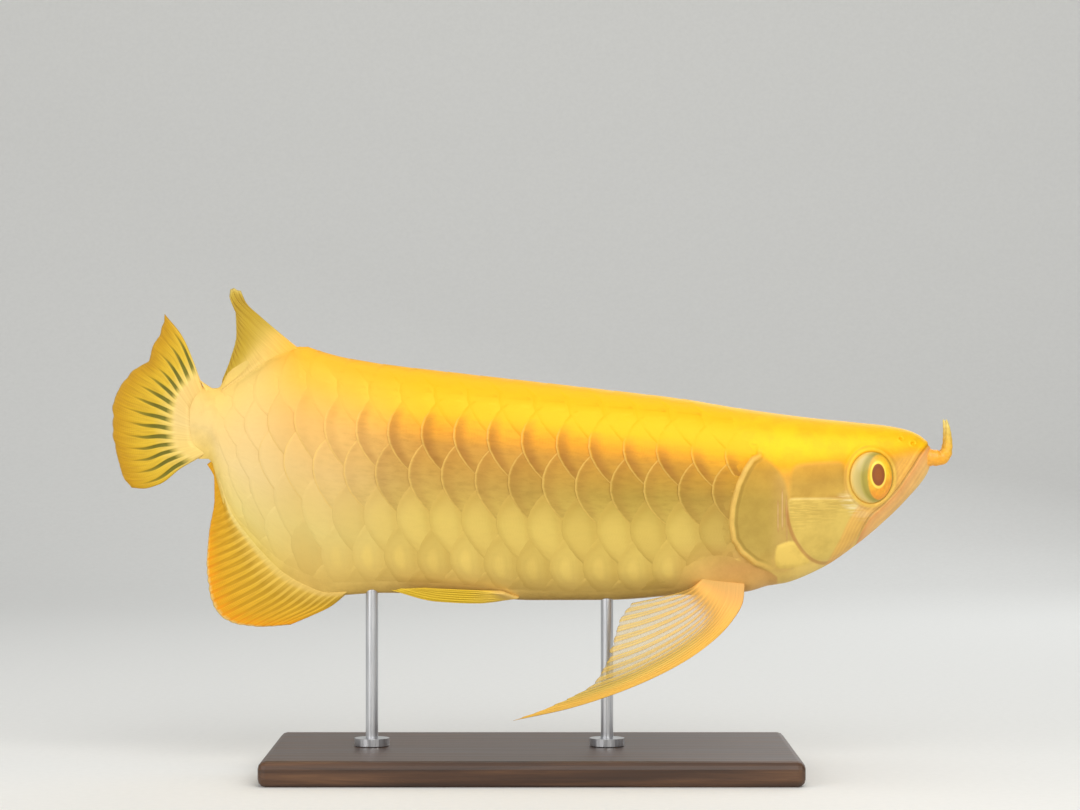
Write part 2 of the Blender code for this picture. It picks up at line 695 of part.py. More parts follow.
def lip_outline(width):
    """A strip along the mouth line, mostly above it or, with a width above 0, below."""
    spots = np.array(MOUTH[1:])
    ways = np.gradient(spots, axis=0)
    ways /= np.linalg.norm(ways, axis=1, keepdims=True)
    across = np.stack([ways[:, 1], -ways[:, 0]], axis=1)
    over = math.copysign(LIP_OVERLAP, width)
    return [*map(tuple, spots - across * over), *map(tuple, (spots + across * width)[::-1])]


def orbit_rim(side):
    """The rim that stands up round the eye."""
    x, z = EYE_AT
    sign = -1 if side == "right" else 1
    centres = []
    for i in range(ORBIT_TURNS):
        turn = 2 * math.pi * i / ORBIT_TURNS
        at_x = x + (EYE_RADII[0] + ORBIT_WIDTH * 0.7) * math.cos(turn)
        at_z = z + (EYE_RADII[2] + ORBIT_WIDTH * 0.7) * math.sin(turn)
        centres.append(Vector((at_x, sign * (half_width(at_x, at_z) + 0.1), at_z)))
    middle = sum(centres, Vector()) / ORBIT_TURNS
    points = []
    for centre in centres:
        outward = (centre - middle).normalized()
        for j in range(ORBIT_SIDES):
            turn = 2 * math.pi * j / ORBIT_SIDES
            points.append(centre + outward * ORBIT_WIDTH * math.cos(turn)
                          + Vector((0, ORBIT_WIDTH * math.sin(turn), 0)))
    faces = []
    for i in range(ORBIT_TURNS):
        here, there = i * ORBIT_SIDES, (i + 1) % ORBIT_TURNS * ORBIT_SIDES
        faces += ring_faces(here, there, ORBIT_SIDES)
    return new_object("rim", points, faces)


def ball(x, z, side, radius, out):
    """A small ball on the side of the head."""
    y = half_width(x, z) + out
    bpy.ops.mesh.primitive_uv_sphere_add(segments=8, ring_count=5, radius=radius * MM)
    made = bpy.context.object
    made.data.transform(Matrix.Translation(Vector((x, -y if side == "right" else y, z)) * MM))
    return made


def make_head():
    made = loft("head", nose_stations(HEAD_START), HEAD_AROUND)
    for side in ("right", "left"):
        plates = [side_plate("plate", outline, side, PLATE_RISE)
                  for outline in (UPPER_CHEEK, LOWER_CHEEK)]
        plates += [side_plate("lip", lip_outline(-LIP_WIDTH), side, LIP_RISE), orbit_rim(side)]
        plates += [ball(x, z, side, radius + NOSTRIL_WALL, NOSTRIL_SEAT) for x, z, radius in NOSTRILS]
        for plate in plates:
            combine(made, [plate], "UNION")
    cuts = [prism("cut", behind(*HEAD_FROM, GAP / 2)), prism("jaw", grown(jaw_outline(), GAP))]
    for side in ("right", "left"):
        cuts += [gill_pocket(side), eyeball("socket", side, GAP)]
        cuts += [ball(x, z, side, radius, NOSTRIL_HOLLOW) for x, z, radius in NOSTRILS]
    for cut in cuts:
        combine(made, [cut], "DIFFERENCE", "MANIFOLD")  # the exact solver loses the head here
    finish(made, "head")


def make_lower_jaw():
    made = loft("lower_jaw", nose_stations(JAW_START), HEAD_AROUND)
    for side in ("right", "left"):
        combine(made, [side_plate("lip", lip_outline(LIP_WIDTH), side, LIP_RISE)], "UNION")
    combine(made, [prism("cut", jaw_outline())], "INTERSECT")
    finish(made, "jaw")


def eyeball(name, side, out=0.0):
    """An eye, or with more size the socket round it."""
    x, z = EYE_AT
    y = half_width(x, z) + EYE_PROUD - EYE_RADII[1]
    bpy.ops.mesh.primitive_uv_sphere_add(segments=16, ring_count=8, radius=MM)
    made = bpy.context.object
    made.name = name
    sizes = Matrix.Diagonal([radius + out for radius in EYE_RADII]).to_4x4()
    made.data.transform(Matrix.Rotation(math.pi / 2, 4, "X"))
    made.data.transform(sizes)
    made.data.transform(Matrix.Translation(Vector((x, -y if side == "right" else y, z)) * MM))
    return made


def make_eye(side):
    finish(eyeball("eye_" + side, side), "eye")


def make_barbel(side):
    sign = -1 if side == "right" else 1
    x, z = BARBEL_ROOT
    lift = [(x + dx, sign * (BARBEL_SIDE + BARBEL_SPREAD * dz), z + dz) for dx, dz in BARBEL_LIFT]
    path = through(lift, BARBEL_STATIONS)
    line = bpy.data.curves.new("barbel_" + side, "CURVE")
    line.dimensions = "3D"
    line.bevel_depth = BARBEL_RADII[0] * MM
    line.bevel_resolution = 1
    line.use_fill_caps = True
    run = line.splines.new("POLY")
    run.points.add(len(path) - 1)
    for i, (point, spot) in enumerate(zip(run.points, path)):
        share = i / (len(path) - 1)
        point.co = (*(spot * MM), 1)
        point.radius = 1 + (BARBEL_RADII[1] / BARBEL_RADII[0] - 1) * share
    curve = bpy.data.objects.new("line", line)
    bpy.context.scene.collection.objects.link(curve)
    graph = bpy.context.evaluated_depsgraph_get()
    mesh = bpy.data.meshes.new_from_object(curve.evaluated_get(graph))
    made = bpy.data.objects.new("barbel_" + side, mesh)
    bpy.context.scene.collection.objects.link(made)
    bpy.data.objects.remove(curve)
    work = bmesh.new()
    work.from_mesh(mesh)
    bmesh.ops.remove_doubles(work, verts=work.verts, dist=0.01 * MM)
    work.to_mesh(mesh)
    work.free()
    tidy_mesh(made)
    combine(made, [loft("clear", nose_stations(140.0), 40, GAP)], "DIFFERENCE")
    finish(made, "jaw")


def make_fins():
    dorsal = sunk_line(DORSAL_ROOT, back_at, FIN_SINK)
    middle_fin("dorsal_fin", dorsal, DORSAL_LEAD, DORSAL_TIPS, (), DORSAL_RAYS, 4, DORSAL_HALF,
               body_near(TAIL_X, -80))
    anal = sunk_line(ANAL_ROOT, belly_at, -FIN_SINK)
    middle_fin("anal_fin", anal, ANAL_LEAD, ANAL_TIPS, (), ANAL_RAYS, 3, ANAL_HALF,
               body_near(TAIL_X, -60))
    for side in ("right", "left"):
        paired_fin("pectoral_fin_" + side, side, PECTORAL_ROOT, PECTORAL_LEAD, PECTORAL_TIPS,
                   PECTORAL_LAST, PECTORAL_RAYS, 9, PECTORAL_HALF, PECTORAL_ROLL[side],
                   body_near(20, 110))
        paired_fin("pelvic_fin_" + side, side, PELVIC_ROOT, PELVIC_LEAD, PELVIC_TIPS, PELVIC_LAST,
                   PELVIC_RAYS, 5, PELVIC_HALF, 0.0, body_near(-70, 10))


def make_tail_fin():
    root = flat([(x - GAP, z) for x, z in TAIL_ROOT])
    lead = [root[0], *flat(TAIL_LEAD)]
    last = [root[-1], *flat(TAIL_LAST), (TAIL_TIPS[-1][0], 0.0, TAIL_TIPS[-1][1])]
    tips = [lead[-1], *flat(TAIL_TIPS)]
    points, faces = fin("caudal_fin", root, lead, tips, last, TAIL_RAYS, 5, TAIL_HALF)
    made = new_object("caudal_fin", [bent(p) for p in points], faces)
    stem = [*grown([*TAIL_END, (-60.0, 60.0), (-60.0, 200.0)], GAP)]
    combine(made, [prism("stem", stem)], "DIFFERENCE")
    finish(made, "fin")


def make_stand():
    length, width, height = BASE_SIZE
    bpy.ops.mesh.primitive_cube_add(size=1)
    base = bpy.context.object
    base.name = "stand_base"
    base.data.transform(Matrix.Diagonal(Vector(BASE_SIZE) * MM).to_4x4())
    base.data.transform(Matrix.Translation((0, 0, height / 2 * MM)))
    edge = base.modifiers.new("Bevel", "BEVEL")
    edge.width = BASE_ROUND * MM
    edge.segments = 3
    edge.limit_method = "ANGLE"
    finish(base, "base")
    for place, x in ROD_AT.items():
        bottom = height + GAP
        top = belly_at(x) + ROD_OVER
        rod = rod_piece("stand_rod_" + place, x, ROD_RADIUS, bottom, top)
        foot = rod_piece("foot", x, FOOT_RADIUS, bottom, bottom + FOOT_HEIGHT)
        combine(rod, [foot], "UNION")
        combine(rod, [body_near(x - 20, x + 20)()], "DIFFERENCE")
        finish(rod, "steel")


def rod_piece(name, x, radius, bottom, top):
    bpy.ops.mesh.primitive_cylinder_add(vertices=28, radius=radius * MM, depth=(top - bottom) * MM)
    made = bpy.context.object
    made.name = name
    made.data.transform(Matrix.Translation(Vector((x, 0, (bottom + top) / 2)) * MM))
    return made


for old_object in list(bpy.data.objects):
    bpy.data.objects.remove(old_object)
pieces = bpy.data.collections.new("arowana_display_model")
bpy.context.scene.collection.children.link(pieces)

make_trunk()
make_tail_stem()
make_head()
make_lower_jaw()
for body_side in ("right", "left"):
    make_gill_cover(body_side)
    make_eye(body_side)
    make_barbel(body_side)
make_fins()
make_tail_fin()
make_stand()
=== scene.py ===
import math

import bpy
import numpy as np
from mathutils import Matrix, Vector


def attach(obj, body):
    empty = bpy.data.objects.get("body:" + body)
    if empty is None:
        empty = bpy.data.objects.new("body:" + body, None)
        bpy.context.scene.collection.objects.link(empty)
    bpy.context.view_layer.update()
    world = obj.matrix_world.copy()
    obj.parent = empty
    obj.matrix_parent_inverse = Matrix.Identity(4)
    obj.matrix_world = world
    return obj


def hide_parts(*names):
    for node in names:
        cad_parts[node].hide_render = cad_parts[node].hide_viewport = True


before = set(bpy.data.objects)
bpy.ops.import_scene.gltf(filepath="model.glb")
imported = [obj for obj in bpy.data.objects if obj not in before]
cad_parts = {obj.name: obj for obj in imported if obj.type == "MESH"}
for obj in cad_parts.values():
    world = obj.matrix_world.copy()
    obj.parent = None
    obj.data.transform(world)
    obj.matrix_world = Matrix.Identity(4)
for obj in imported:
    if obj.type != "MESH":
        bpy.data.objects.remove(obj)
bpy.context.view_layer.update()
print("frame loaded")

# all sizes below are in millimetres until a mesh is filled
mm = 0.001

# the fish's side outline and thickness: x, height of back, height of belly, half width
bodyForm = {
    "rows": (
        (-146, 158.5, 123.0, 1.2), (-140, 158.2, 124.0, 1.7), (-133, 156.6, 125.0, 2.6),
        (-129, 153.4, 124.6, 3.3), (-126, 153.0, 115.2, 3.9), (-121, 155.8, 101.6, 4.9),
        (-115, 159.6, 93.6, 6.0), (-108, 164.0, 85.8, 7.4), (-100, 167.8, 78.4, 8.9),
        (-92, 170.0, 73.8, 10.2), (-80, 166.5, 70.2, 12.0), (-60, 162.9, 71.2, 14.2),
        (-30, 159.3, 70.6, 16.3), (0, 155.9, 68.3, 17.5), (30, 152.5, 68.4, 18.1),
        (60, 148.9, 70.6, 18.3), (80, 145.6, 72.6, 18.3), (100, 142.7, 75.0, 17.8),
        (115, 140.9, 80.8, 16.4), (130, 139.4, 90.8, 14.2), (142, 138.1, 101.0, 11.5),
        (150, 136.4, 109.0, 9.0), (155, 134.2, 114.6, 6.8), (158, 131.4, 119.0, 4.2),
        (159.4, 128.6, 122.6, 1.6)),
    # x, height of the widest line as a share of the depth, upper and lower roundness
    "section": (
        (-146, 0.50, 2.0, 2.0), (-120, 0.58, 2.0, 1.7), (-80, 0.62, 2.2, 1.7), (0, 0.62, 2.4, 1.75),
        (80, 0.60, 2.5, 1.8), (120, 0.58, 2.7, 1.9), (159.4, 0.55, 2.4, 2.0)),
    # the rounded end of the tail stem, top to bottom
    "tailEnd": ((-131.6, 165.0), (-133.0, 157.6), (-141.2, 148.4), (-142.2, 139.0),
                (-141.2, 130.4), (-133.4, 125.0), (-131.8, 117.0)),
    "headLine": ((84.5, 175.0), (101.0, 55.0)),
    "tailBendFrom": -66.0,
    "tailBend": 6.0,
    "tailTipX": -169.0,
}


# a curve through (x, value) points that never overshoots, for one x or for many
def smoothLine(points):
    xs, ys = np.array(points, float).T
    steps = np.diff(xs)
    slopes = np.diff(ys) / steps
    tangents = np.zeros(len(xs))
    tangents[0], tangents[-1] = slopes[0], slopes[-1]
    same = slopes[:-1] * slopes[1:] > 0
    weights = 3 * (steps[:-1] + steps[1:])
    with np.errstate(divide="ignore", invalid="ignore"):
        mean = weights / ((2 * steps[1:] + steps[:-1]) / slopes[:-1]
                          + (steps[1:] + 2 * steps[:-1]) / slopes[1:])
    tangents[1:-1][same] = mean[same]

    def value(x):
        x = np.asarray(x, float)
        i = np.clip(np.searchsorted(xs, x) - 1, 0, len(steps) - 1)
        t = np.clip((x - xs[i]) / steps[i], 0.0, 1.0)
        return (ys[i] * (1 + 2 * t) * (1 - t) ** 2 + tangents[i] * steps[i] * t * (1 - t) ** 2
                + ys[i + 1] * t * t * (3 - 2 * t) + tangents[i + 1] * steps[i] * t * t * (t - 1))

    return value


backAt, bellyAt, widthAt = (smoothLine([(row[0], row[i]) for row in bodyForm["rows"]])
                            for i in (1, 2, 3))
widestAt, upperAt, lowerAt = (smoothLine([(row[0], row[i]) for row in bodyForm["section"]])
                              for i in (1, 2, 3))
tailX, noseX = bodyForm["rows"][0][0], bodyForm["rows"][-1][0]


# rises smoothly from 0 at low to 1 at high
def ramp(value, low, high):
    share = np.clip((np.asarray(value, float) - low) / (high - low), 0.0, 1.0)
    return share * share * (3 - 2 * share)


# the body's surface at x, turned from the back (0) over the right side to the belly (pi)
def sectionPoint(x, turn):
    x = np.asarray(x, float)
    top, bottom = backAt(x), bellyAt(x)
    middle = bottom + widestAt(x) * (top - bottom)
    up, out = np.cos(turn), -np.sin(turn)
    power = 2 / np.where(up > 0, upperAt(x), lowerAt(x))
    rise = np.where(up > 0, top, bottom) - middle
    side = widthAt(x) * np.sign(out) * np.abs(out) ** power
    return np.stack(np.broadcast_arrays(x, side, middle + rise * np.abs(up) ** power), axis=-1)


# the turn that lies at each share of the half girth, for stations all along the body
tableX = np.arange(tailX, noseX + 0.3, 0.4)
tableShare = np.linspace(0, 1, 97)


def girthTurns():
    turns = np.linspace(0, math.pi, 61)
    table = np.zeros((len(tableX), len(tableShare)))
    for i, x in enumerate(tableX):
        points = sectionPoint(np.full(len(turns), x), turns)
        lengths = np.concatenate([[0], np.cumsum(np.linalg.norm(np.diff(points, axis=0), axis=1))])
        table[i] = np.interp(tableShare * lengths[-1], lengths, turns)
    return table


turnTable = girthTurns()


# the turn a share of the way round the body, measured along the skin
def girthTurn(x, around):
    side = np.mod(around, 1.0)
    share = np.where(side <= 0.5, 2 * side, 2 * (1 - side))
    row = np.clip((x - tableX[0]) / (tableX[1] - tableX[0]), 0, len(tableX) - 1.001)
    column = np.clip(share * (len(tableShare) - 1), 0, len(tableShare) - 1.001)
    i, j = row.astype(int), column.astype(int)
    s, t = row - i, column - j
    turn = ((turnTable[i, j] * (1 - s) + turnTable[i + 1, j] * s) * (1 - t)
            + (turnTable[i, j + 1] * (1 - s) + turnTable[i + 1, j + 1] * s) * t)
    return np.where(side <= 0.5, turn, 2 * math.pi - turn)


# points of the skin, moved out along its normal
def skinPoint(x, around, out=0.0):
    x, around, out = np.broadcast_arrays(np.asarray(x, float), around, out)
    x = np.clip(x, tailX, noseX)
    turn = girthTurn(x, around)
    here = sectionPoint(x, turn)
    along = sectionPoint(np.minimum(x + 0.5, noseX), turn) - sectionPoint(np.maximum(x - 0.5, tailX), turn)
    roundIt = sectionPoint(x, turn + 0.05) - sectionPoint(x, turn - 0.05)
    normal = np.cross(roundIt, along)
    normal /= np.maximum(np.linalg.norm(normal, axis=-1, keepdims=True), 1e-9)
    return here + normal * out[..., None]


# the body's half width at x and height z
def halfWidth(x, z):
    top, bottom = backAt(x), bellyAt(x)
    middle = bottom + widestAt(x) * (top - bottom)
    share = np.where(z > middle, (z - middle) / (top - middle), (middle - z) / (middle - bottom))
    power = np.where(z > middle, upperAt(x), lowerAt(x))
    return widthAt(x) * np.maximum(0.0, 1 - np.minimum(share, 1.0) ** power) ** (1 / power)


# a point on the body's side at x and z, moved out along its normal; side is -1 on the right
def sidePoint(x, z, out, side):
    x, z, out = np.broadcast_arrays(np.asarray(x, float), np.asarray(z, float), out)
    here = halfWidth(x, z)
    slopeX = (halfWidth(x + 0.3, z) - halfWidth(x - 0.3, z)) / 0.6
    slopeZ = (halfWidth(x, z + 0.3) - halfWidth(x, z - 0.3)) / 0.6
    normal = np.stack([-slopeX, np.ones_like(here), -slopeZ], axis=-1)
    normal /= np.linalg.norm(normal, axis=-1, keepdims=True)
    spots = np.stack([x, here, z], axis=-1) + normal * out[..., None]
    return spots * np.array([1.0, side, 1.0])


# the tail's turn to the far side
def bent(points):
    start = bodyForm["tailBendFrom"]
    past = np.maximum(0.0, start - points[..., 0]) / (start - bodyForm["tailTipX"])
    turned = points.copy()
    turned[..., 1] += bodyForm["tailBend"] * past * past
    return turned


# how far down the side a point lies: 0 at the back line, 1 at the belly
def dropOf(points):
    x = np.clip(points[..., 0], tailX, noseX)
    top, bottom = backAt(x), bellyAt(x)
    return np.clip((top - points[..., 2]) / (top - bottom), 0.0, 1.0)


# points evenly along a smooth curve through the given ones
def through(points, count):
    spots = np.array(points, float)
    reach = np.concatenate([[0], np.cumsum(np.linalg.norm(np.diff(spots, axis=0), axis=1))])
    at = np.linspace(0, reach[-1], count)
    return np.stack([smoothLine(list(zip(reach, spots[:, i])))(at)
                     for i in range(spots.shape[1])], axis=1)


# a closed outline with its corners cut round
def roundedOutline(outline, times=3):
    spots = np.array(outline, float)
    for _ in range(times):
        after = np.roll(spots, -1, axis=0)
        spots = np.stack([spots * 0.75 + after * 0.25, spots * 0.25 + after * 0.75], axis=1).reshape(-1, 2)
    return spots


# distance from a line in the side view, and inside a closed one below 0
def distanceTo(points, line, closed=True):
    line = np.array(line, float)
    starts = line if closed else line[:-1]
    ends = np.roll(line, -1, axis=0) if closed else line[1:]
    best = np.full(len(points), 1e9)
    inside = np.zeros(len(points), bool)
    for a, b in zip(starts, ends):
        ab = b - a
        t = np.clip(((points - a) @ ab) / max(ab @ ab, 1e-12), 0, 1)
        best = np.minimum(best, np.linalg.norm(points - a - t[:, None] * ab, axis=1))
        if closed:
            crosses = (a[1] > points[:, 1]) != (b[1] > points[:, 1])
            at = a[0] + (points[:, 1] - a[1]) / (b[1] - a[1] + 1e-12) * ab[0]
            inside ^= crosses & (points[:, 0] < at)
    return np.where(inside, -best, best)


# helpers for meshes
def deselectAll():
    if bpy.context.mode != "OBJECT":
        bpy.ops.object.mode_set(mode="OBJECT")
    bpy.ops.object.select_all(action="DESELECT")


def pick(piece):
    deselectAll()
    piece.select_set(True)
    bpy.context.view_layer.objects.active = piece


# a grid of columns and rows of points, with its map from 0 to 1 both ways
def addGrid(name, columns, rows):
    deselectAll()
    bpy.ops.mesh.primitive_grid_add(x_subdivisions=columns - 1, y_subdivisions=rows - 1, size=1.0)
    piece = bpy.context.object
    piece.name = piece.data.name = name
    return piece


def fillPoints(piece, points):
    piece.data.vertices.foreach_set("co", (np.asarray(points, float) * mm).ravel())
    piece.data.update()


def addNumbers(piece, name, values):
    layer = piece.data.attributes.new(name, "FLOAT", "POINT")
    layer.data.foreach_set("value", np.asarray(values, np.float32).ravel())


# merges what coincides and turns every face outwards
def closeMesh(piece, within=0.00001):
    pick(piece)
    bpy.ops.object.mode_set(mode="EDIT")
    bpy.ops.mesh.select_all(action="SELECT")
    bpy.ops.mesh.remove_doubles(threshold=within)
    bpy.ops.mesh.normals_make_consistent(inside=False)
    bpy.ops.object.mode_set(mode="OBJECT")


def smoothShade(piece, degrees=None):
    pick(piece)
    if degrees:
        bpy.ops.object.shade_smooth_by_angle(angle=math.radians(degrees))
    else:
        bpy.ops.object.shade_smooth()


def wear(piece, material, slot, *nodes):
    piece.data.materials.clear()
    piece.data.materials.append(material)
    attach(piece, "root")
    if nodes:
        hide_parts(*nodes)


# helpers for materials
def linear(colour):
    share = np.array(colour, float) / 255
    return (*np.where(share <= 0.04045, share / 12.92, ((share + 0.055) / 1.055) ** 2.4), 1.0)


class Nodes:
    # a short way to write a node tree, one call for each node
    def __init__(self, name, roughness, **settings):
        self.material = bpy.data.materials.new(name)
        self.material.use_nodes = True
        self.tree = self.material.node_tree
        self.shader = self.tree.nodes["Principled BSDF"]
        self.shader.inputs["Roughness"].default_value = roughness
        for socket, value in settings.items():
            self.shader.inputs[socket.replace("_", " ")].default_value = value

    def add(self, kind, **values):
        node = self.tree.nodes.new(kind)
        for key, value in values.items():
            setattr(node, key, value)
        return node

    def join(self, source, target):
        self.tree.links.new(source, target)

    def fill(self, socket, value):
        if isinstance(value, bpy.types.NodeSocket):
            self.join(value, socket)
        else:
            socket.default_value = value

    def place(self):
        return self.add("ShaderNodeTexCoord").outputs["Object"]

    def number(self, name):
        return self.add("ShaderNodeAttribute", attribute_name=name).outputs["Fac"]

    def math(self, kind, a, b=0.0, clamp=False):
        node = self.add("ShaderNodeMath", operation=kind, use_clamp=clamp)
        self.fill(node.inputs[0], a)
        self.fill(node.inputs[1], b)
        return node.outputs[0]

    def times(self, a, b):
        return self.math("MULTIPLY", a, b)

    def less(self, value):
        return self.math("SUBTRACT", 1.0, value)

    def joined(self, x, y, z):
        node = self.add("ShaderNodeCombineXYZ")
        for socket, value in zip(node.inputs, (x, y, z)):
            self.fill(socket, value)
        return node.outputs[0]

    def span(self, value, low, high):
        node = self.add("ShaderNodeMapRange")
        self.join(value, node.inputs["Value"])
        node.inputs["To Min"].default_value = low
        node.inputs["To Max"].default_value = high
        return node.outputs["Result"]

    # 0 at low and 1 at high, in either order
    def between(self, value, low, high):
        node = self.add("ShaderNodeMapRange", interpolation_type="SMOOTHSTEP")
        self.fill(node.inputs["Value"], value)
        node.inputs["From Min"].default_value = min(low, high)
        node.inputs["From Max"].default_value = max(low, high)
        if low > high:
            return self.less(node.outputs["Result"])
        return node.outputs["Result"]

    def mapping(self, place, location=(0, 0, 0), rotation=(0, 0, 0), scale=(1, 1, 1), kind="POINT"):
        node = self.add("ShaderNodeMapping", vector_type=kind)
        self.join(place, node.inputs["Vector"])
        node.inputs["Location"].default_value = location
        node.inputs["Rotation"].default_value = rotation
        node.inputs["Scale"].default_value = scale
        return node.outputs[0]

    def noise(self, place, scale, detail=3.0, rough=0.5, distortion=0.0):
        node = self.add("ShaderNodeTexNoise")
        self.join(place, node.inputs["Vector"])
        for key, value in (("Scale", scale), ("Detail", detail), ("Roughness", rough),
                           ("Distortion", distortion)):
            node.inputs[key].default_value = value
        return node.outputs["Fac"]

    def waves(self, place, direction, scale, distortion=0.0, detail=0.0, detailScale=1.0):
        node = self.add("ShaderNodeTexWave", wave_type="BANDS", bands_direction=direction)
        self.join(place, node.inputs["Vector"])
        for key, value in (("Scale", scale), ("Distortion", distortion), ("Detail", detail),
                           ("Detail Scale", detailScale)):
            node.inputs[key].default_value = value
        return node.outputs["Fac"]

    # stops are (place, sRGB colour)
    def colours(self, value, stops):
        node = self.add("ShaderNodeValToRGB")
        self.join(value, node.inputs["Fac"])
        band = node.color_ramp
        while len(band.elements) > 1:
            band.elements.remove(band.elements[-1])
        band.elements[0].position, band.elements[0].color = stops[0][0], linear(stops[0][1])
        for at, colour in stops[1:]:
            band.elements.new(at).color = linear(colour)
        return node.outputs["Color"]

    def mix(self, share, first, second, kind="MIX"):
        node = self.add("ShaderNodeMix", data_type="RGBA", blend_type=kind)
        self.fill(node.inputs["Factor"], share)
        self.fill(node.inputs[6], first)
        self.fill(node.inputs[7], second)
        return node.outputs[2]

    # a colour laid over another by a share
    def paint(self, share, under, over):
        return self.mix(share, under, linear(over))

    def bump(self, height, strength, distance, before=None):
        node = self.add("ShaderNodeBump")
        self.join(height, node.inputs["Height"])
        node.inputs["Strength"].default_value = strength
        node.inputs["Distance"].default_value = distance
        if before is not None:
            self.join(before, node.inputs["Normal"])
        return node.outputs["Normal"]

    def finish(self, colour, normal=None, roughness=None, alpha=None):
        self.join(colour, self.shader.inputs["Base Color"])
        if normal is not None:
            self.join(normal, self.shader.inputs["Normal"])
        if roughness is not None:
            self.join(roughness, self.shader.inputs["Roughness"])
        if alpha is not None:
            self.join(alpha, self.shader.inputs["Alpha"])
        return self.material


# the fish's markings, shared by the skin and the scales
# each band is a station along the body with its colours from back (0) to belly (1)
markings = {
    "bands": (
        (-0.134, ((0.0, (250, 206, 104)), (0.3, (240, 202, 120)), (0.6, (234, 204, 132)),
                  (1.0, (240, 206, 108)))),
        (-0.114, ((0.0, (226, 194, 104)), (0.12, (236, 198, 112)), (0.35, (234, 198, 128)),
                  (0.6, (230, 202, 138)),
                  (0.85, (226, 204, 124)), (1.0, (224, 194, 90)))),
        (-0.088, ((0.0, (255, 188, 32)), (0.14, (253, 184, 62)), (0.30, (238, 188, 104)),
                  (0.5, (226, 190, 120)),
                  (0.75, (222, 198, 118)), (1.0, (226, 188, 96)))),
        (-0.035, ((0.0, (255, 192, 8)), (0.19, (255, 184, 18)), (0.26, (244, 168, 42)),
                  (0.33, (208, 152, 62)),
                  (0.50, (200, 162, 78)), (0.66, (218, 190, 96)), (0.85, (230, 200, 106)),
                  (1.0, (226, 188, 106)))),
        (0.045, ((0.0, (255, 196, 0)), (0.20, (255, 184, 4)), (0.27, (240, 164, 28)),
                 (0.34, (202, 148, 50)),
                 (0.50, (186, 156, 66)), (0.66, (218, 190, 94)), (0.85, (230, 200, 104)),
                 (1.0, (228, 192, 108)))),
        (0.082, ((0.0, (255, 198, 0)), (0.26, (252, 178, 8)), (0.34, (216, 158, 42)),
                 (0.50, (186, 152, 66)),
                 (0.72, (206, 176, 90)), (0.88, (212, 162, 90)), (1.0, (232, 184, 104)))),
    ),
}


def markedColour(nodes):
    drop, along = nodes.number("drop"), nodes.number("along")
    colour = None
    for i, (station, stops) in enumerate(markings["bands"]):
        band = nodes.colours(drop, stops)
        if colour is None:
            colour = band
        else:
            share = nodes.between(along, markings["bands"][i - 1][0], station)
            colour = nodes.mix(share, colour, band)
    return colour


# orange round the pectoral fin's root, with a brown shade behind it: x, height, size, colour, strength
finTints = (
    (0.0672, 0.0812, 0.0115, (176, 120, 54), 0.5),
    (0.0790, 0.0765, 0.0095, (238, 164, 78), 0.7),
)


def finTint(nodes, colour):
    place = nodes.place()
    for x, z, size, tint, strength in finTints:
        moved = nodes.mapping(place, (-x / size, 0.0, -z / size), (0, 0, 0), (1 / size, 0.0, 1.5 / size))
        away = nodes.add("ShaderNodeVectorMath", operation="LENGTH")
        nodes.join(moved, away.inputs[0])
        near = nodes.between(away.outputs["Value"], 1.0, 0.25)
        colour = nodes.paint(nodes.times(near, strength), colour, tint)
    return colour


# the head's outlines in the side view, x and height
headForm = {
    "gillRim": ((89.0, 127.0), (86.4, 125.6), (83.6, 121.4), (80.6, 115.0), (78.4, 106.4), (78.0, 99.4),
                (79.0, 92.8), (82.4, 87.6), (88.0, 83.0), (94.4, 80.4)),
    "gillFront": ((98.4, 79.6), (103.6, 81.0), (107.2, 85.2), (105.6, 91.0), (102.4, 96.0),
                  (101.4, 106.0), (100.4, 115.0), (96.0, 123.0)),
    "mouth": ((166.0, 133.6), (157.8, 130.2), (155.2, 127.4), (151.6, 122.0), (148.6, 117.6),
              (145.0, 112.4), (139.6, 106.8), (134.2, 102.0), (131.2, 97.0)),
    "jawBack": ((128.4, 90.4), (125.0, 83.6), (121.0, 75.0)),
    "upperCheek": ((102.0, 109.7), (104.4, 109.6), (121.0, 109.8), (124.0, 110.4), (123.6, 114.0),
                   (123.4, 121.0), (123.2, 123.4), (120.4, 124.4), (107.0, 123.4), (103.2, 122.4),
                   (102.3, 118.0), (101.8, 112.0)),
    "lowerCheek": ((101.4, 109.2), (104.2, 109.3), (125.6, 109.3), (129.6, 107.2), (132.0, 102.6),
                   (130.8, 95.4), (127.0, 89.6), (121.2, 85.2), (115.6, 83.6), (109.8, 86.4),
                   (104.8, 92.8), (102.2, 99.2), (101.3, 105.0)),
    "lowGill": ((96.6, 90.4), (98.4, 91.4), (102.8, 92.8), (105.0, 91.4), (108.0, 87.4), (111.0, 84.0),
                (108.0, 82.2), (98.6, 81.0), (96.2, 83.2)),
    "nostrils": ((151.6, 131.2, 0.9), (146.8, 133.0, 0.8)),
    "pectoralRoot": ((85.0, 74.4), (76.0, 75.2), (66.6, 76.2)),
    "eyeAt": (134.6, 117.6),
    "eyeSize": (9.2, 10.8),
    "gillRise": 0.7,
    "plateRise": 0.16,
    # the lines whose distances the skin's look reads
    "painted": ("head", "gill", "upperCheek", "lowerCheek", "lowGill", "mouth", "eye"),
    "mound": 1.5,
    "moundWide": 10.0,
    # the line where the scales end and the head begins, closed far outside the fish
    "border": ((84.5, 175.0), (87.4, 145.0), (89.4, 130.0)),
}
headBorder = [*headForm["border"], *headForm["gillRim"], (97.6, 78.0), (101.0, 50.0), (180.0, 50.0),
              (180.0, 175.0)]


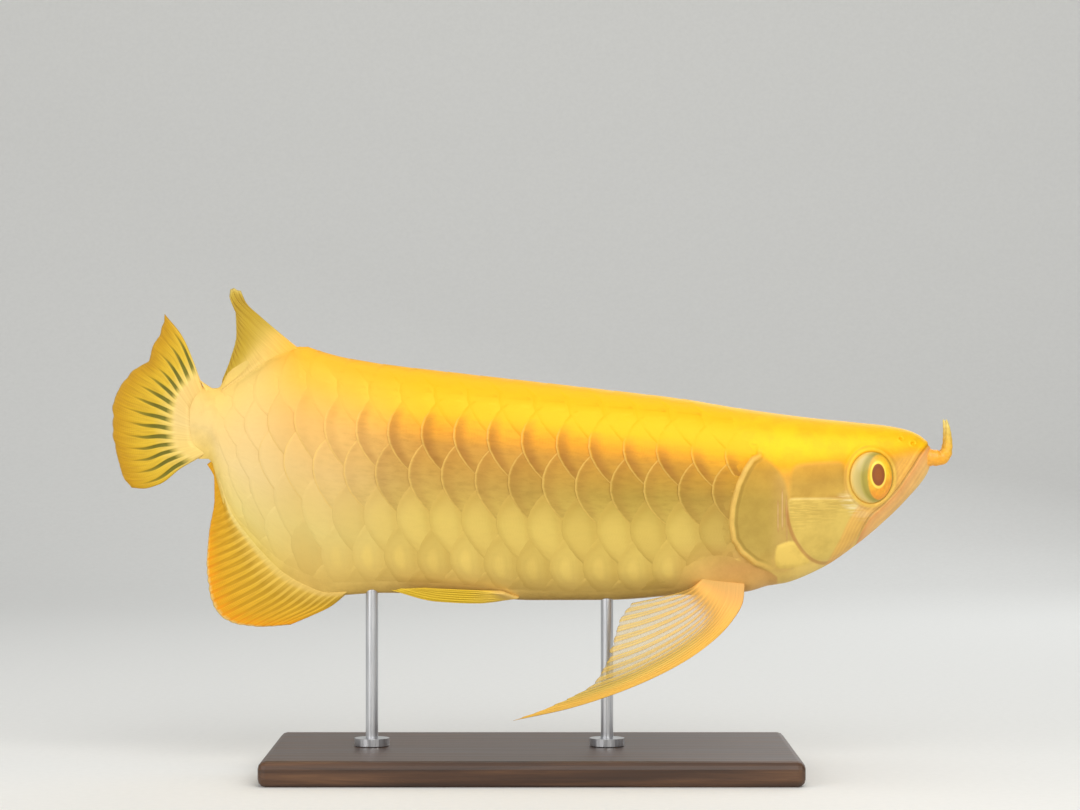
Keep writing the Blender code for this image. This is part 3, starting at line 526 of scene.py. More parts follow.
# how far each point lies from the head's lines, in the side view
def headDistances(points):
    flat = points[:, [0, 2]]
    form = headForm
    gill = roundedOutline([*form["gillRim"], *form["gillFront"]], 2)
    jaw = [*form["mouth"], *form["jawBack"], (124.0, 40.0), (200.0, 40.0), (200.0, 150.0)]
    ex, ez = form["eyeAt"]
    rx, rz = form["eyeSize"]
    found = {
        "head": distanceTo(flat, headBorder),
        "fin": distanceTo(flat, form["pectoralRoot"], closed=False),
        "gill": distanceTo(flat, gill),
        "upperCheek": distanceTo(flat, roundedOutline(form["upperCheek"], 2)),
        "lowerCheek": distanceTo(flat, roundedOutline(form["lowerCheek"], 2)),
        "lowGill": distanceTo(flat, roundedOutline(form["lowGill"], 1)),
        "mouth": distanceTo(flat, through([*form["mouth"], *form["jawBack"]], 80), closed=False),
        "eye": np.hypot((flat[:, 0] - ex) / rx, (flat[:, 1] - ez) / rz),
    }
    below = distanceTo(flat, jaw) < 0
    found["mouth"] = np.where(below, -found["mouth"], found["mouth"])
    return found


# a rounded bump across a line, 1 on it and 0 past its width
def bead(distance, width):
    return np.maximum(0.0, 1 - (distance / width) ** 2) ** 2


# the upright folds of the preopercle, 1 on each fold
def uprightFolds(x, z):
    found = np.zeros_like(x)
    for at, low, high, share in ((97.2, 94.0, 108.0, 0.8), (98.9, 95.0, 112.0, 1.0),
                                 (100.6, 90.0, 110.0, 0.6)):
        lean = 0.012 * (z - 102.0) ** 2 / 10 - 0.02 * (z - 102.0)
        found = np.maximum(found, share * bead(x - at - lean, 0.55) * ramp(z, low, low + 5)
                           * ramp(-z, -high - 3, -high + 2))
    return found


def headRelief(points, away):
    form = headForm
    x, z = points[:, 0], points[:, 2]
    out = np.zeros(len(points))
    gill, head = away["gill"], away["head"]
    # gill cover: a free rim at the rear that is thickest at its edge, and soft in front
    rear = ramp(-head, 9.0, 1.0)
    rear = rear * (gill < 2.0) * ramp(-gill, -2.0, -0.2) * (1 - ramp(x, 88.0, 97.0))
    out += ramp(-head, -0.3, 0.5) * rear * form["gillRise"]
    out += 0.16 * bead(head + 1.1, 1.2) * rear
    out -= 0.16 * bead(head + 2.6, 0.7) * rear
    # cheek plates and the small plate under the gill cover
    for name, rise in (("upperCheek", form["plateRise"]), ("lowerCheek", form["plateRise"]),
                       ("lowGill", 0.3)):
        out += rise * ramp(-away[name], -0.4, 1.6)
        out -= 0.05 * bead(away[name] - 0.25, 0.6)
    # upright folds of the preopercle, which lean with the gill cover
    out += 0.2 * uprightFolds(x, z)
    # lips, ridges of the upper jaw and the slit between them
    mouth = away["mouth"]
    low = ramp(z, 94.0, 100.0)
    out += 0.26 * bead(mouth - 1.3, 1.3) * low + 0.26 * bead(mouth + 1.4, 1.6) * low
    for at, high in ((3.4, 0.12), (4.7, 0.10), (5.9, 0.08)):
        out += high * bead(mouth - at, 0.6) * ramp(z, 88.0, 96.0) * ramp(-z, -127.0, -116.0)
    out -= 0.6 * bead(mouth, 0.55) * ramp(z, 95.0, 99.0)
    for at in (-3.8, -5.4):
        out += 0.12 * bead(mouth - at, 0.7) * low
    # the rim round the eye, and the socket that the eye fills
    eye = away["eye"]
    out += 0.2 * bead(eye - 1.05, 0.09)
    out -= 0.12 * bead(eye - 1.22, 0.10) * ramp(-x, -150.0, -143.0)
    out = np.where(eye < 1.0, out - 3.4 * ramp(-eye, -0.985, -0.86), out)
    for at, height, radius in form["nostrils"]:
        near = np.hypot(x - at, z - height) / radius
        out += 0.2 * bead(near - 1.25, 0.5) - 1.0 * ramp(-near, -1.0, -0.35)
    # the flesh round the pectoral fin's root
    out += form["mound"] * bead(away["fin"], form["moundWide"])
    return out


skinForm = {
    "columns": 300,
    "steps": ((-146.0, -120.0, 1.5), (-120.0, 74.0, 2.6), (74.0, 159.2, 0.42)),
    "underScales": 0.42,
    "underKeel": 0.05,
    "footFrom": -130.0,
    # where the flesh rises to a middle fin: rear and front end, height and half width of the rise
    "finFoot": {"dorsal": (-126.0, -94.0, 6.0, 7.0), "anal": (-127.0, -75.0, 4.0, 5.5)},
}


# where the skin lies under the scales: 0 at the belly's keel and on the head
def scaledShare(points, around, headAway):
    fromKeel = np.abs(np.mod(around, 1.0) - 0.5)
    high = ramp(fromKeel, 0.33, 0.40)
    nape = ramp(headAway, -0.2, 0.5) * (1 - high) + ramp(headAway, 0.0, 16.0) * high
    throat = 1 - ramp(points[..., 0], 84.0, 92.0) * ramp(-points[..., 2], -92.0, -86.0)
    bare = ramp(np.hypot(points[..., 0] - 74.0, (points[..., 2] - 76.0) * 1.2), 9.0, 18.0)
    return ramp(fromKeel, 0.012, 0.06) * nape * throat * bare * ramp(points[..., 0], -134.0, -116.0)


def tailEndAt(z):
    ends = sorted((z, x) for x, z in bodyForm["tailEnd"])
    return smoothLine(ends)(np.clip(z, ends[0][0], ends[-1][0]))


def makeSkin(material):
    form = skinForm
    stations = np.concatenate([np.arange(a, b - step * 0.4, step) for a, b, step in form["steps"]]
                              + [[noseX - 0.1, noseX]])
    columns, rows = form["columns"] + 1, len(stations) + 2
    piece = addGrid("skin", columns, rows)
    around = np.tile(np.linspace(0.0, 1.0, columns), len(stations))
    x = np.repeat(stations, columns)
    plain = skinPoint(x, around)
    away = headDistances(plain)
    scaled = scaledShare(plain, around, away["head"])
    keel = ramp(-np.abs(around - 0.5), -0.04, -0.012) * (x < 100)
    out = headRelief(plain, away) * ramp(x, 55.0, 60.0) - form["underScales"] * scaled ** 2
    out -= form["underKeel"] * keel
    points = skinPoint(x, around, out)
    # the flesh rises to the roots of the dorsal and anal fins
    upper = points[:, 2] > (backAt(x) + bellyAt(x)) / 2
    for name, sign in (("dorsal", 1), ("anal", -1)):
        rear, front, high, wide = form["finFoot"][name]
        slope = np.maximum(0, 1 - np.abs(points[:, 1]) / wide) ** 4
        span = ramp(x, rear, rear + 5.0) * ramp(-x, -front, -front + 9.0)
        points[:, 2] += sign * high * slope * span * (upper == (sign > 0))
    # the flesh ends in the round foot of the tail fin, and thins out into it
    start = form["footFrom"]
    reach = np.clip((start - points[:, 0]) / (start - tailX), 0, 1)
    here = np.minimum(points[:, 0], start)
    middle = (backAt(start) + bellyAt(start)) / 2
    shrink = (backAt(start) - bellyAt(start)) / (backAt(here) - bellyAt(here))
    points[:, 2] = middle + (points[:, 2] - (backAt(here) + bellyAt(here)) / 2 * (points[:, 0] < start)
                             - middle * (points[:, 0] >= start)) * np.where(points[:, 0] < start, shrink,
                                                                            1.0)
    points[:, 0] = np.where(points[:, 0] < start,
                            start + reach * (tailEndAt(points[:, 2]) - start), points[:, 0])
    points[:, 1] *= 1 - 0.9 * ramp(reach, 0.0, 1.0)
    grid = points.reshape(len(stations), columns, 3)
    first, last = grid[0].copy(), grid[-1].copy()
    first[:, 1] = 0.0
    first[:, 0] -= 0.3
    last[:] = grid[-1].mean(axis=0) + (0.3, 0, 0)
    points = bent(np.concatenate([first[None], grid, last[None]]))
    fillPoints(piece, points)
    flat = points.reshape(-1, 3)
    placed = headDistances(flat)
    addNumbers(piece, "drop", dropOf(flat))
    addNumbers(piece, "along", flat[:, 0] * mm)
    for name in headForm["painted"]:
        addNumbers(piece, name, placed[name])
    addNumbers(piece, "folds", uprightFolds(flat[:, 0], flat[:, 2]))
    piece.data.uv_layers[0].name = "OFBake"
    closeMesh(piece)
    smoothShade(piece)
    wear(piece, material, "scaled_skin", "trunk", "tail_stem", "head", "lower_jaw",
         "gill_cover_right", "gill_cover_left")
    return piece


# scales: rows run round the body, columns count half pitches from the tail forwards
scaleForm = {
    "rows": 12,
    "pitch": ((-146, 7.0), (-119, 9.0), (-92, 12.2), (-40, 13.2), (125, 13.6)),
    "first": -117.0,
    "smaller": (-125.4, -133.0),
    "last": 106.0,
    "curve": 0.83,
    "lean": 0.12,
    # how far each row's free edge stands over the next scale, from the back to the belly
    "step": (0.05, 0.06, 0.5, 0.46, 0.15, 0.1, 0.06),
    "faint": 0.04,
    # how far down the side the visible edges begin
    "edgesFrom": ((-125.0, 0.15), (-5.0, 0.155), (50.0, 0.22)),
    "edgesFade": (-124.0, -96.0),
    "across": 12,
    "length": 1.3,
    # half width in rows, where the free edge ends, how much the next scale leaves bare, and unevenness
    "halfWide": 0.93,
    "edgeEnds": 0.86,
    "bare": 0.77,
    "uneven": 0.018,
    "seed": 4,
}


def scaleStations():
    pitch = smoothLine(scaleForm["pitch"])
    stations = [*scaleForm["smaller"][::-1], scaleForm["first"]]
    while stations[-1] < scaleForm["last"]:
        stations.append(stations[-1] + float(pitch(stations[-1])))
    for _ in range(4):
        stations.append(stations[-1] + float(pitch(stations[-1])))
    return stations


# one scale, flat: share across from -1 to 1, pitches back from its edge, and height
def makeScaleTemplate():
    form = scaleForm
    down = ((1.0, -0.9, 0.0), (0.86, -0.1, 1.0), (0.5, 0.0, 1.0), (0.14, 0.0, 1.0), (0.035, 0.0, 1.0),
            (0.0, -0.14, 1.0), (0.02, -0.5, 0.6), (0.1, -0.9, 0.0))
    columns, rows = form["across"] + 1, len(down)
    piece = addGrid("scale", columns, rows)
    across = np.sin(np.linspace(-1, 1, columns) * math.pi / 2 * 0.92) / math.sin(math.pi / 2 * 0.92)
    spots = np.array([[(side, *line) for side in across] for line in down]).reshape(-1, 4)
    piece.data.uv_layers[0].name = "OFBake"
    faces = [tuple(face.vertices) for face in piece.data.polygons]
    unwrap = np.zeros(len(piece.data.loops) * 2)
    piece.data.uv_layers[0].data.foreach_get("uv", unwrap)
    bpy.data.objects.remove(piece)
    return spots, np.array(faces), unwrap.reshape(-1, 2)


def makeScales(material):
    form = scaleForm
    template, faces, unwrap = makeScaleTemplate()
    stations = np.array(scaleStations())
    chance = np.random.default_rng(form["seed"])
    lastColumn = 2 * (len(stations) - 5)
    places, patches = [], []
    kept = {"drop": [], "along": [], "u": [], "v": [], "tone": [], "row": [], "shown": []}
    edgesFrom = smoothLine(form["edgesFrom"])
    for column in range(lastColumn + 1):
        for row in range(column % 2, form["rows"], 2):
            u, v, height, lift = template.T
            wobble = chance.normal(0, form["uneven"], 2)
            off = form["halfWide"] * u
            line = np.mod(row + off + wobble[0], form["rows"])
            place = (column / 2 + form["curve"] * off * off + wobble[1]
                     + form["lean"] * np.minimum(line,
                                                 form["rows"] - line) + v * form["length"] * (1 - 0.35 * u * u))
            place = np.minimum(place, len(stations) - 1.001)
            x = np.interp(place, np.arange(len(stations)), stations)
            around = line / form["rows"]
            flat = skinPoint(x, around)
            away = distanceTo(flat[:, [0, 2]], headBorder)
            scaled = scaledShare(flat, around, away)
            fromBack = np.minimum(line, form["rows"] - line)
            begin = edgesFrom(flat[:, 0])
            shown = ramp(dropOf(flat) - begin, 0.0, 0.09) * ramp(flat[:, 0], *form["edgesFade"])
            step = form["faint"] + (np.interp(fromBack, range(7), form["step"]) - form["faint"]) * shown
            edge = np.maximum(0.0, 1 - (np.abs(off) / form["edgeEnds"]) ** 2.4)
            out = step * edge * (1 - v / form["bare"]) * lift + height
            sink = 0.15 + 0.9 * ramp(-away, -0.3, 1.2)
            out = out * scaled - sink * (1 - scaled)
            points = bent(skinPoint(x, around, out))
            places.append(points)
            kept["drop"].append(dropOf(points))
            kept["along"].append(points[:, 0] * mm)
            kept["u"].append(u)
            kept["v"].append(v)
            kept["tone"].append(np.full(len(u), chance.random()))
            kept["row"].append(np.full(len(u), min(row, form["rows"] - row)))
            kept["shown"].append(shown)
            patches.append(((row + 0.03) / form["rows"], (column + 0.06) / (lastColumn + 2)))
    count, each = len(places), len(template)
    mesh = bpy.data.meshes.new("scales")
    allFaces = (faces[None] + (np.arange(count) * each)[:, None, None]).reshape(-1, 4)
    mesh.from_pydata((np.concatenate(places) * mm).tolist(), [], allFaces.tolist())
    piece = bpy.data.objects.new("scales", mesh)
    bpy.context.scene.collection.objects.link(piece)
    for name, values in kept.items():
        addNumbers(piece, name, np.concatenate(values))
    # each scale's patch lies where its root is on an unwrap of the body
    layer = mesh.uv_layers.new(name="OFBake")
    size = np.array((0.94 / form["rows"], 1.88 / (lastColumn + 2)))
    patch = unwrap[None] * size + np.array(patches)[:, None, :]
    layer.data.foreach_set("uv", patch.ravel())
    closeMesh(piece, 0.000002)
    smoothShade(piece, 70)
    wear(piece, material, "scaled_skin")
    print("scales:", count)
    return piece


# fins; rayWide is half a ray's share of its spacing at the root, and closes is where the gaps end
finForm = {
    "dorsal": {"rays": 17, "perRay": 8, "rows": 60, "half": (2.4, 0.4, 0.3), "rayWide": 0.26,
               "closes": 1.6, "split": 0.6, "ridges": (0.62, 0.85), "ridge": 0.22, "deeper": 4.0,
               "lead": ((-100.8, 175.2), (-108.8, 182.0), (-114.4, 187.4), (-116.6, 192.2)),
               "tips": ((-120.6, 193.6), (-121.4, 190.4), (-118.9, 184.0), (-118.5, 175.0),
                        (-121.0, 164.6), (-124.0, 156.8)),
               "root": (-93.0, -125.2), "notch": 0.02},
    "anal": {"rays": 28, "perRay": 8, "rows": 60, "half": (1.9, 0.4, 0.3), "rayWide": 0.2,
             "closes": 1.7, "split": 0.7, "ridges": (0.06, 0.2), "ridge": 0.11, "deeper": 3.0,
             "lead": ((-80.8, 65.6), (-88.8, 61.8), (-96.8, 58.4)),
             "tips": ((-108.8, 57.5), (-120.4, 59.0), (-126.4, 63.4), (-129.4, 71.2), (-130.5, 83.0),
                      (-129.6, 95.0), (-127.3, 109.0), (-127.4, 117.0), (-130.2, 122.6)),
             "root": (-73.0, -128.7), "notch": 0.014},
    "tail": {"rays": 15, "perRay": 14, "rows": 76, "half": (1.3, 0.4, 0.3), "rayWide": 0.22,
             "closes": 0.85, "split": 0.45, "ridges": (0.0, 0.12), "ridge": 0.32, "deeper": 7.0,
             "lead": ((-136.0, 164.8), (-140.2, 174.0), (-147.4, 183.0)),
             "tips": ((-149.2, 175.8), (-152.4, 170.4), (-154.4, 164.2), (-160.2, 160.6),
                      (-165.8, 154.0), (-169.0, 146.0), (-169.0, 136.0), (-167.0, 125.6),
                      (-164.0, 116.6), (-160.8, 113.2)),
             "last": ((-141.0, 120.8), (-149.4, 114.6), (-156.4, 112.8)), "notch": 0.02},
    "pectoral": {"rays": 17, "perRay": 10, "rows": 96, "half": (2.2, 0.4, 0.25), "rayWide": 0.22,
                 "closes": 2.5, "split": 0.5, "ridges": (0.08, 0.3), "ridge": 0.2, "deeper": 3.0,
                 "root": ((84.6, 4.6, 75.0), (76.0, 6.2, 75.4), (67.4, 7.4, 76.4)),
                 "lead": ((83.8, 8.4, 68.1), (79.7, 12.6, 61.2), (66.2, 20.0, 49.3),
                          (42.4, 27.4, 37.1), (14.7, 32.4, 28.0), (-7.7, 35.0, 23.4)),
                 "tips": ((11.0, 32.6, 30.6), (22.9, 31.0, 37.1), (28.6, 29.4, 45.9),
                          (31.4, 26.4, 53.9), (34.6, 22.6, 62.9), (39.4, 19.6, 68.4)),
                 "last": ((61.9, 11.6, 73.3), (50.6, 15.8, 70.5), (39.4, 19.6, 68.4)),
                 "roll": {"right": 0.0, "left": 50.0}, "notch": 0.022, "clear": (0.22, 0.6, 0.24, 0.6)},
    "pelvic": {"rays": 7, "perRay": 12, "rows": 50, "half": (1.0, 0.35, 0.25), "rayWide": 0.24,
               "closes": 2.0, "split": 0.6, "ridges": (0.05, 0.2), "ridge": 0.2, "deeper": 2.0,
               "root": ((-7.0, 3.4, 69.4), (-10.0, 5.0, 70.6), (-13.0, 6.6, 72.0)),
               "lead": ((-22.0, 5.0, 67.4), (-38.0, 6.8, 68.2), (-56.4, 9.0, 73.0)),
               "tips": ((-52.0, 9.4, 73.6), (-44.0, 9.6, 73.8)),
               "last": ((-20.0, 7.6, 72.6), (-32.0, 8.8, 73.2), (-44.0, 9.6, 73.8)),
               "roll": {"right": 0.0, "left": 0.0}, "notch": 0.02, "clear": (0.3, 0.7, 0.8, 0.95)},
    "sink": 1.2,
    # where a paired fin turns, measured back from the middle of its root
    "hinge": (0.0, 2.2, -1.6),
}


# 1 on a ray and 0 in the gap beside it, at a share across and along; rays split near the tip
def rayAt(a, b, form):
    local = np.abs(np.mod(a * (form["rays"] - 1) + 0.5, 1.0) - 0.5)
    wide = form["rayWide"] + (0.5 - form["rayWide"]) * (b / form["closes"]) ** 1.3
    ray = 1 - ramp(local, wide - 0.09, wide + 0.07)
    split = bead(local, 0.07) * ramp(b, form["split"], form["split"] + 0.25)
    return np.clip(ray - 0.5 * split, 0, 1)


def makeFin(name, form, root, lead, tips, last, material, node, place=lambda points: points):
    rays = form["rays"]
    columns = (rays - 1) * form["perRay"] + 1
    rows = form["rows"]
    rootLine, tipLine = through(root, columns), through(tips, columns)
    leadLine, lastLine = through(lead, rows), through(last, rows)
    a = np.linspace(0, 1, columns)[None, :]
    b = np.linspace(0, 1, rows)[:, None] * np.ones_like(a)
    # the edge is cut into shallow notches between rays of slightly uneven length
    chance = np.random.default_rng(len(name) * 7 + rays)
    uneven = np.interp(a[0] * (rays - 1) * 2, range(2 * rays), chance.random(2 * rays))[None, :]
    notch = form["notch"] * (0.6 * (0.5 - 0.5 * np.cos(2 * math.pi * a * (rays - 1))) ** 1.5 + uneven)
    reach = b * (1 - notch * np.clip(np.minimum(a, 1 - a) * 30, 0, 1))
    at = reach * (rows - 1)
    low = np.clip(np.floor(at).astype(int), 0, rows - 2)
    part = (at - low)[..., None]

    def onLine(line):
        return line[low] * (1 - part) + line[low + 1] * part

    s, t = a[..., None], reach[..., None]
    sides = onLine(leadLine) * (1 - s) + onLine(lastLine) * s
    ends = rootLine[None] * (1 - t) + tipLine[None] * t
    corners = ((leadLine[0] * (1 - s) + lastLine[0] * s) * (1 - t)
               + (leadLine[-1] * (1 - s) + lastLine[-1] * s) * t)
    spots = sides + ends - corners
    normal = np.cross(np.gradient(spots, axis=1), np.gradient(spots, axis=0))
    normal /= np.maximum(np.linalg.norm(normal, axis=2, keepdims=True), 1e-9)
    ray = rayAt(a * np.ones_like(b), b, form)
    atRoot, atTip, film = form["half"]
    flesh = film + (atRoot - film) * (1 - ramp(b, 0.0, 0.42)) ** 1.6
    thick = flesh + (atTip - film) * b + form["ridge"] * ray * ramp(b, *form["ridges"]) * (1 - 0.5 * b)
    edge = np.clip(np.minimum(a, 1 - a) * (rays - 1) * 2.4, 0, 1)
    thick = thick * np.sqrt(1 - (1 - edge) ** 2) * np.sqrt(np.clip((1 - b) * 16, 0.0, 1))
    # the root goes on into the flesh
    inward = spots[:1] - spots[2:3]
    inward /= np.maximum(np.linalg.norm(inward, axis=2, keepdims=True), 1e-9)
    steps = np.array((1.0, 0.5))[:, None, None] * form["deeper"]
    spots = np.concatenate([spots[:1] + inward * steps, spots])
    normal = np.concatenate([normal[:1], normal[:1], normal])
    thick = np.concatenate([thick[:1] * 0.5, thick[:1] * 0.85, thick])
    b, ray = (np.concatenate([values[:1], values[:1], values]) for values in (b, ray))
    front, back = spots + normal * thick[..., None], spots - normal * thick[..., None]
    sheet = np.concatenate([spots[:1], front, back[::-1], spots[:1]])
    piece = addGrid(name, columns, len(sheet))
    placed = place(sheet)
    fillPoints(piece, placed)

    def bothSides(values):
        return np.concatenate([values[:1], values, values[::-1], values[:1]])

    across = np.broadcast_to(a, b.shape)
    addNumbers(piece, "reach", bothSides(b))
    addNumbers(piece, "across", bothSides(across) * (rays - 1))
    addNumbers(piece, "share", bothSides(across))
    addNumbers(piece, "ray", bothSides(ray))
    if "clear" in form:
        near, far, web, onRay = form["clear"]
        thin = web + (onRay - web) * ray
        solid = 1 - (1 - thin) * ramp(across, near, far) * ramp(b, 0.1, 0.3)
        addNumbers(piece, "solid", bothSides(solid))
    fromRoot = placed[0]
    addNumbers(piece, "drop", np.broadcast_to(dropOf(fromRoot), placed.shape[:2]))
    addNumbers(piece, "along", placed[..., 0] * mm)
    piece.data.uv_layers[0].name = "OFBake"
    closeMesh(piece, 0.000003)
    smoothShade(piece)
    wear(piece, material, "fin_membrane", node)
    return piece


def flatLine(points):
    return [(x, 0.0, z) for x, z in points]


# a middle fin's root along the back or belly line, sunk into the flesh
def sunkLine(ends, lineAt, sink, count=30):
    xs = np.linspace(*ends, 80)
    line = through(np.stack([xs, lineAt(xs)], axis=1), count)
    ways = np.gradient(line, axis=0)
    ways /= np.linalg.norm(ways, axis=1, keepdims=True)
    return [(p[0] - way[1] * sink, p[1] + way[0] * sink) for p, way in zip(line, ways)]


def makeMiddleFins(material):
    sink = finForm["sink"]
    for name, lineAt, by, node in (("dorsal", backAt, sink, "dorsal_fin"),
                                   ("anal", bellyAt, -sink, "anal_fin")):
        form = finForm[name]
        root = flatLine(sunkLine(form["root"], lineAt, by))
        lead = [root[0], *flatLine(form["lead"])]
        tips = [lead[-1], *flatLine(form["tips"])]
        makeFin(name + "Fin", form, root, lead, tips, [root[-1], tips[-1]], material[name], node, bent)
    form = finForm["tail"]
    root = flatLine([(x - 0.3, z) for x, z in bodyForm["tailEnd"][1:-1]])
    lead = [root[0], *flatLine(form["lead"])]
    tips = [lead[-1], *flatLine(form["tips"])]
    makeFin("tailFin", form, root, lead, tips, [root[-1], *flatLine(form["last"]), tips[-1]],
            material["tail"], "caudal_fin", bent)


def makePairedFins(material):
    for name in ("pectoral", "pelvic"):
        form = finForm[name]
        for side, sign in (("right", -1), ("left", 1)):
            turn = math.radians(form["roll"][side])
            hinge = np.array(form["root"][1]) - finForm["hinge"]

            def place(points, turn=turn, hinge=hinge, sign=sign):
                past = points - hinge
                y = past[..., 1] * math.cos(turn) - past[..., 2] * math.sin(turn)
                z = past[..., 1] * math.sin(turn) + past[..., 2] * math.cos(turn)
                turned = np.stack([past[..., 0], y, z], axis=-1) + hinge
                return bent(turned * (1.0, sign, 1.0))

            lead = [form["root"][0], *form["lead"]]
            makeFin(f"{name}Fin.{side}", form, form["root"], lead, [lead[-1], *form["tips"]],
                    [form["root"][-1], *form["last"]], material[name], f"{name}_fin_{side}", place)


# eyes: a low dome that follows the head, closed by a deep back
eyeForm = {
    "around": 64,
    "front": 22,
    "dome": 1.75,
    "rim": -0.75,
    "deep": 4.2,
    "fit": 0.975,
    "backRings": 8,
    # mark, how far ahead of the eye's middle and above it, half width and half height
    "marks": (("olive", 1.9, 0.2, 6.9, 10.0), ("gold", 2.9, 0.3, 5.2, 8.9), ("pupil", 2.1, 1.3, 2.6, 4.2)),
}


def makeEye(side, material):
    form, (ex, ez), (rx, rz) = eyeForm, headForm["eyeAt"], headForm["eyeSize"]
    sign = -1 if side == "right" else 1
    rings = form["backRings"]
    rows = form["front"] + rings
    piece = addGrid("eye." + side, form["around"] + 1, rows)
    turn = np.linspace(0, 2 * math.pi, form["around"] + 1)[None, :]
    front = np.linspace(0, 1, form["front"]) ** 0.85
    back = np.linspace(1, 0, rings + 1)[1:]
    share = np.concatenate([front, back])[:, None]
    behind = np.concatenate([np.zeros(form["front"]), np.ones(rings)])[:, None] > 0
    dome = form["rim"] + (form["dome"] - form["rim"]) * np.sqrt(np.maximum(0, 1 - share ** 2.3))
    hollow = form["rim"] - form["deep"] * np.sqrt(np.maximum(0, 1 - share ** 2))
    out = np.where(behind, hollow, dome) * np.ones_like(turn)
    size = form["fit"] * share
    x = ex + size * rx * np.cos(turn)
    z = ez + size * rz * np.sin(turn)
    points = sidePoint(x, z, out, sign)
    fillPoints(piece, points)
    for mark, forward, up, wide, high in form["marks"]:
        addNumbers(piece, mark, np.hypot((x - ex - forward) / wide, (z - ez - up) / high))
    addNumbers(piece, "ball", size * np.ones_like(turn))
    addNumbers(piece, "lean", (x - ex) * 0.6 - (z - ez))
    piece.data.uv_layers[0].name = "OFBake"
    closeMesh(piece, 0.000003)
    smoothShade(piece)
    wear(piece, material, "eye", "eye_" + side)


# barbels: from the lower lip, forwards and then up
barbelForm = {
    "root": (158.9, 125.4),
    "lift": ((-3.0, -0.6), (0.0, 0.0), (4.0, -0.2), (6.6, 2.0), (7.3, 6.2), (7.0, 11.0), (6.2, 15.4)),
    "radii": ((0.0, 2.3), (0.14, 2.3), (0.34, 2.1), (0.55, 1.6), (0.78, 1.1), (1.0, 0.4)),
    # how much deeper than wide a barbel is from its root to its tip
    "deeper": ((0.0, 1.55), (0.3, 1.35), (0.5, 1.1), (1.0, 1.0)),
    "side": 2.6,
    "spread": 0.12,
    "stations": 60,
    "around": 20,
}


def makeBarbel(side, material):
    form = barbelForm
    sign = -1 if side == "right" else 1
    x, z = form["root"]
    path = through([(x + dx, form["side"] + form["spread"] * dz, z + dz) for dx, dz in form["lift"]],
                   form["stations"])
    ahead = np.gradient(path, axis=0)
    ahead /= np.linalg.norm(ahead, axis=1, keepdims=True)
    across = np.cross(ahead, (0.0, 1.0, 0.0))
    across /= np.linalg.norm(across, axis=1, keepdims=True)
    other = np.cross(ahead, across)
    share = np.linspace(0, 1, form["stations"])
    radius = smoothLine(form["radii"])(share)
    radius *= 1 + 0.04 * np.sin(share * 60)
    radius[-5:] *= np.sqrt(1 - (np.linspace(0, 1, 5) ** 2))
    turn = np.linspace(0, 2 * math.pi, form["around"] + 1)
    across *= smoothLine(form["deeper"])(share)[:, None]
    ring = (path[:, None] + radius[:, None, None]
            * (across[:, None] * np.cos(turn)[None, :, None] + other[:, None] * np.sin(turn)[None, :,
                                                                                             None]))
    first = np.broadcast_to(path[0], ring[0].shape)
    points = np.concatenate([first[None], ring]) * (1.0, sign, 1.0)
    piece = addGrid("barbel." + side, form["around"] + 1, form["stations"] + 1)
    fillPoints(piece, points)
    addNumbers(piece, "reach", np.repeat(np.concatenate([[0], share]), form["around"] + 1))
    piece.data.uv_layers[0].name = "OFBake"
    closeMesh(piece, 0.000003)
    smoothShade(piece)
    wear(piece, material, "jaw_skin", "barbel_" + side)


# materials
scaleLook = {
    "crescent": (150, 92, 36),
    "rim": (236, 196, 104),
    "net": (192, 152, 66),
    # the colour of the painted sheen and highlight spots on the lower scales
    "spot": (246, 216, 116),
    "roughness": (0.42, 0.52),
}


